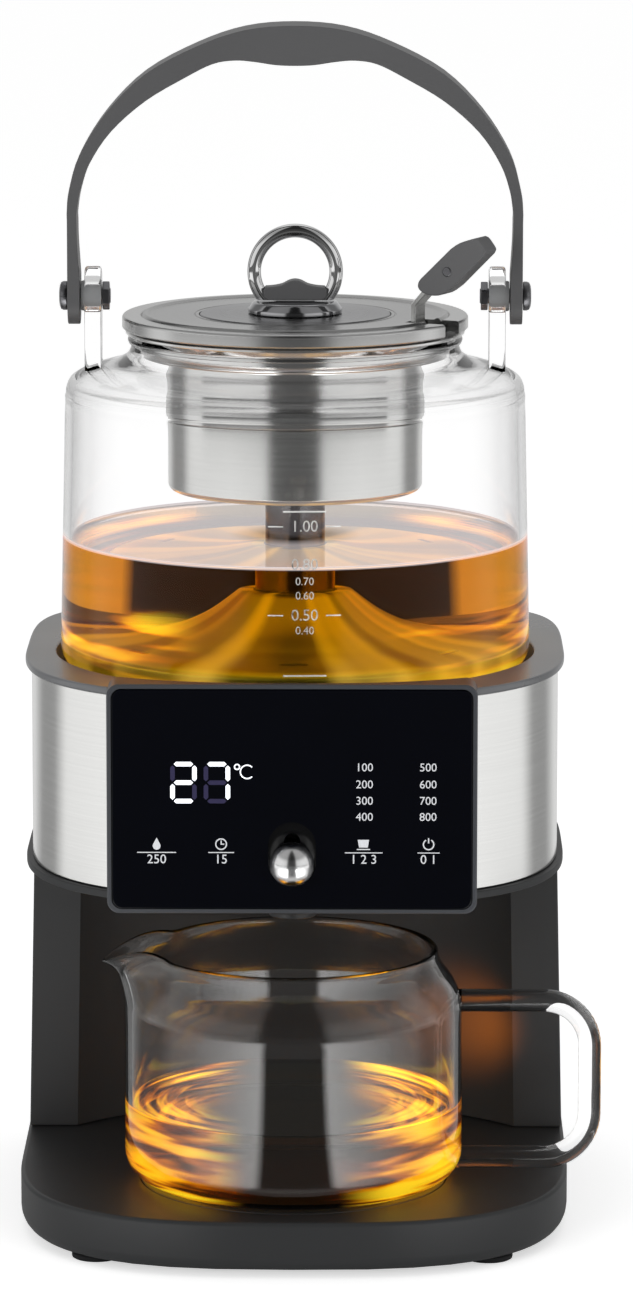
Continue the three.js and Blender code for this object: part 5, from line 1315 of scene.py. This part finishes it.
class BREWER_OT_stage(BrewerOperator, bpy.types.Operator):
    """Floor, studio light and camera"""

    bl_idname = "brewer.stage"
    bl_label = "Stage"

    def build(self, sizes):
        scene = bpy.context.scene
        scene.view_settings.view_transform = "Standard"
        self.floor()
        self.world(scene)
        for name, (at, watts, size) in LAMPS.items():
            lamp = self.lamp(name, "AREA", at, watts)
            lamp.data.shape = "RECTANGLE"
            lamp.data.size, lamp.data.size_y = size
            lamp.rotation_euler = (LAMPS_AIM - Vector(at)).to_track_quat("-Z", "Y").to_euler()
        # Warm light that the tea throws on the column beside the handle.
        glow = self.lamp("carafe_glow", "SPOT", place(60, -14, 52), 0.6)
        glow.rotation_euler = (math.radians(90), 0, 0)
        glow.data.spot_size = math.radians(56)
        glow.data.spot_blend = 1.0
        glow.data.color = (1.0, 0.24, 0.01)
        glow.data.shadow_soft_size = 0.008
        glow.visible_camera = False
        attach(glow, "carafe")
        bpy.ops.object.camera_add(location=place(*CAMERA_PLACE))
        camera = bpy.context.object
        camera.name = "photo_camera"
        camera.rotation_euler = (math.radians(CAMERA_PITCH), 0, math.radians(CAMERA_YAW))
        camera.data.lens, camera.data.sensor_width, camera.data.shift_x = CAMERA_LENS, CAMERA_FILM, CAMERA_SHIFT
        scene.camera = camera

    def lamp(self, name, kind, at, watts):
        """A lamp that no mirror or glass shows."""
        clear()
        bpy.ops.object.light_add(type=kind, location=at)
        lamp = bpy.context.object
        lamp.name = name
        lamp.data.energy = watts
        lamp.visible_glossy = lamp.visible_transmission = False
        return lamp

    def sight(self, tree):
        """How light came: by a mirror, straight through from the camera, or deep through tea."""
        ray = add(tree, "LightPath").node.outputs
        bounced = add(tree, "Math", (ray["Glossy Depth"], 0.5), operation="GREATER_THAN")
        mirror = add(tree, "Math", (bounced, ray["Is Diffuse Ray"]), operation="SUBTRACT", use_clamp=True)
        met = add(tree, "Math", (ray["Glossy Depth"], ray["Diffuse Depth"]), operation="ADD")
        unmet = add(tree, "Math", (met, 0.5), operation="LESS_THAN")
        seen = add(tree, "Math", (ray["Is Camera Ray"], ray["Is Transmission Ray"]), operation="MAXIMUM")
        straight = add(tree, "Math", (unmet, seen), operation="MULTIPLY")
        layers = add(tree, "Math", (ray["Transmission Depth"], 4.5), operation="GREATER_THAN")
        return mirror, straight, add(tree, "Math", (straight, layers), operation="MULTIPLY")

    def behind(self, tree, parts, deep):
        """A dark card straight behind, and one straight in front, that only liquid shows."""
        side = add(tree, "Math", (parts["X"],), operation="ABSOLUTE")
        ahead = add(tree, "Math", (parts["Y"],), operation="ABSOLUTE")
        slope = add(tree, "Math", (side, ahead), operation="DIVIDE")
        card = add(tree, "MapRange", {"Value": slope, "From Min": 0.42, "From Max": 0.36})
        return add(tree, "Math", (card, deep), operation="MULTIPLY")

    def cards(self, tree, parts, stops):
        """Studio cards round the brewer, from the camera's side to behind it, as metal sees them."""
        side = add(tree, "Math", (parts["X"],), operation="ABSOLUTE")
        ahead = add(tree, "Math", (parts["Y"], -1.0), operation="MULTIPLY")
        way = add(tree, "Math", (side, ahead), operation="ARCTAN2")
        cards = add(tree, "ValToRGB", (add(tree, "Math", (way, math.pi), operation="DIVIDE"),))
        elements = cards.node.color_ramp.elements
        while len(elements) < len(stops):
            elements.new(0.5)
        for element, (at, level) in zip(elements, stops):
            element.position = at
            element.color = (level, level, level, 1)
        return cards

    def floor(self):
        """White paper that looks bright to the camera, and shows cards and boxes to metal and glass."""
        clear()
        bpy.ops.mesh.primitive_plane_add(size=30, location=(0, 0, 0))
        floor = bpy.context.object
        floor.name = "floor"
        white = (0.86, 0.86, 0.86)
        sheet, tree, shader, coords, paper = mottled("white_paper", 10, white, (0.99, 1.01), Specular_IOR_Level=0.0)
        mirror, straight, deep = self.sight(tree)
        parts = add(tree, "SeparateXYZ", (coords,)).node.outputs
        # Metal sees the cards' feet where the floor leaves the brewer.
        flat = add(tree, "VectorMath", (coords,), 1, operation="LENGTH")
        far = add(tree, "MapRange", {"Value": flat, "From Min": 0.14, "From Max": 0.2})
        edge = add(tree, "Math", (far, mirror), operation="MULTIPLY")
        card = self.behind(tree, parts, deep)
        shade = add(tree, "Math", (edge, card), operation="MAXIMUM")
        ground = add(tree, "Mix", {0: shade, 6: paper, 7: 0.06}, 2, data_type="RGBA")
        clean = add(tree, "Math", (straight, card), operation="SUBTRACT", use_clamp=True)
        lift = add(tree, "Mix", {0: clean, 6: 0.0, 7: 0.56}, 2, data_type="RGBA")
        # The carafe stands low, so it mirrors two soft boxes on the floor close by.
        boxes = {0: self.cards(tree, parts, NEAR_CARDS), "Scale": 3.6}
        boxes = add(tree, "VectorMath", boxes, operation="SCALE")
        beyond = add(tree, "MapRange", {"Value": flat, "From Min": 0.5, "From Max": 0.58})
        shown = {0: beyond, 6: boxes, 7: self.cards(tree, parts, FAR_CARDS)}
        shown = add(tree, "Mix", shown, 2, data_type="RGBA")
        # The far floor on the camera's side is dark.
        ends = add(tree, "MapRange", {"Value": flat, "From Min": 2.2, "From Max": 2.8})
        ahead = add(tree, "Math", (parts["Y"], 0.0), operation="LESS_THAN")
        ends = add(tree, "Math", (ends, ahead), operation="MULTIPLY")
        shown = add(tree, "Mix", {0: ends, 6: shown, 7: 0.1}, 2, data_type="RGBA")
        shown = add(tree, "Mix", {0: edge, 6: lift, 7: shown}, 2, data_type="RGBA")
        feed(shader, {"Base Color": ground, "Emission Color": shown, "Emission Strength": 1.0})
        sheet.cycles.emission_sampling = "NONE"
        floor.data.materials.append(sheet)

    def world(self, scene):
        """A white room for the camera, plain light for dull pieces and a ring of cards for metal."""
        world = bpy.data.worlds.new("studio")
        scene.world = world
        world.use_nodes = True
        world.cycles.sampling_method = "NONE"
        tree = world.node_tree
        mirror, straight, deep = self.sight(tree)
        parts = add(tree, "SeparateXYZ", (add(tree, "TexCoord", take="Generated"),)).node.outputs
        # Above the walls the room is dark, up to a card straight overhead. Behind the brewer it stays bright.
        dim = {"Value": parts["Z"], "From Min": 0.4, "From Max": 0.6, "To Min": 0.85, "To Max": 0.4}
        rear = {"Value": parts["Y"], "From Min": 0.0, "From Max": 0.3, "To Max": 0.85}
        dim = add(tree, "Math", (add(tree, "MapRange", dim), add(tree, "MapRange", rear)), operation="MAXIMUM")
        walls = {0: self.cards(tree, parts, FAR_CARDS), "Scale": dim}
        walls = add(tree, "VectorMath", walls, operation="SCALE")
        above = add(tree, "MapRange", {"Value": parts["Z"], "From Min": 0.8, "From Max": 0.95})
        back = add(tree, "MapRange", {"Value": parts["Y"], "From Min": 0.1, "From Max": 0.3})
        above = add(tree, "Math", (above, back), operation="MULTIPLY")
        sky = add(tree, "Mix", {0: above, 6: walls, 7: 0.95}, 2, data_type="RGBA")
        mirrored_room = add(tree, "Mix", {0: mirror, 6: 0.5, 7: sky}, 2, data_type="RGBA")
        card = self.behind(tree, parts, deep)
        clean = add(tree, "Mix", {0: card, 6: 1.0, 7: 0.06}, 2, data_type="RGBA")
        shown = add(tree, "Mix", {0: straight, 6: mirrored_room, 7: clean}, 2, data_type="RGBA")
        feed(tree.nodes["Background"], {"Color": shown})


PIECES = [
    BREWER_OT_inner_parts, BREWER_OT_base, BREWER_OT_column, BREWER_OT_head, BREWER_OT_panel, BREWER_OT_lever,
    BREWER_OT_kettle, BREWER_OT_percolator, BREWER_OT_pivots, BREWER_OT_bail, BREWER_OT_basket, BREWER_OT_lid,
    BREWER_OT_carafe, BREWER_OT_stage,
]


class BREWER_PT_sidebar(bpy.types.Panel):
    """Lists the brewer's pieces, sizes and colours"""

    bl_label = "Tea and Coffee Brewer"
    bl_space_type = "VIEW_3D"
    bl_region_type = "UI"
    bl_category = "Brewer"

    def draw(self, context):
        for group in (context.scene.brewer_sizes, context.scene.brewer_colours):
            for key in group.bl_rna.properties.keys():
                if key not in ("rna_type", "name"):
                    self.layout.prop(group, key)
        for piece in PIECES:
            self.layout.operator(piece.bl_idname)


CLASSES = [BrewerSizes, BrewerColours, *PIECES, BREWER_PT_sidebar]


def register():
    for item in CLASSES:
        bpy.utils.register_class(item)
    bpy.types.Scene.brewer_sizes = PointerProperty(type=BrewerSizes)
    bpy.types.Scene.brewer_colours = PointerProperty(type=BrewerColours)


def unregister():
    del bpy.types.Scene.brewer_sizes, bpy.types.Scene.brewer_colours
    for item in reversed(CLASSES):
        bpy.utils.unregister_class(item)


def main():
    register()
    for piece in PIECES:
        group, name = piece.bl_idname.split(".")
        getattr(getattr(bpy.ops, group), name)()


if __name__ == "__main__":
    main()
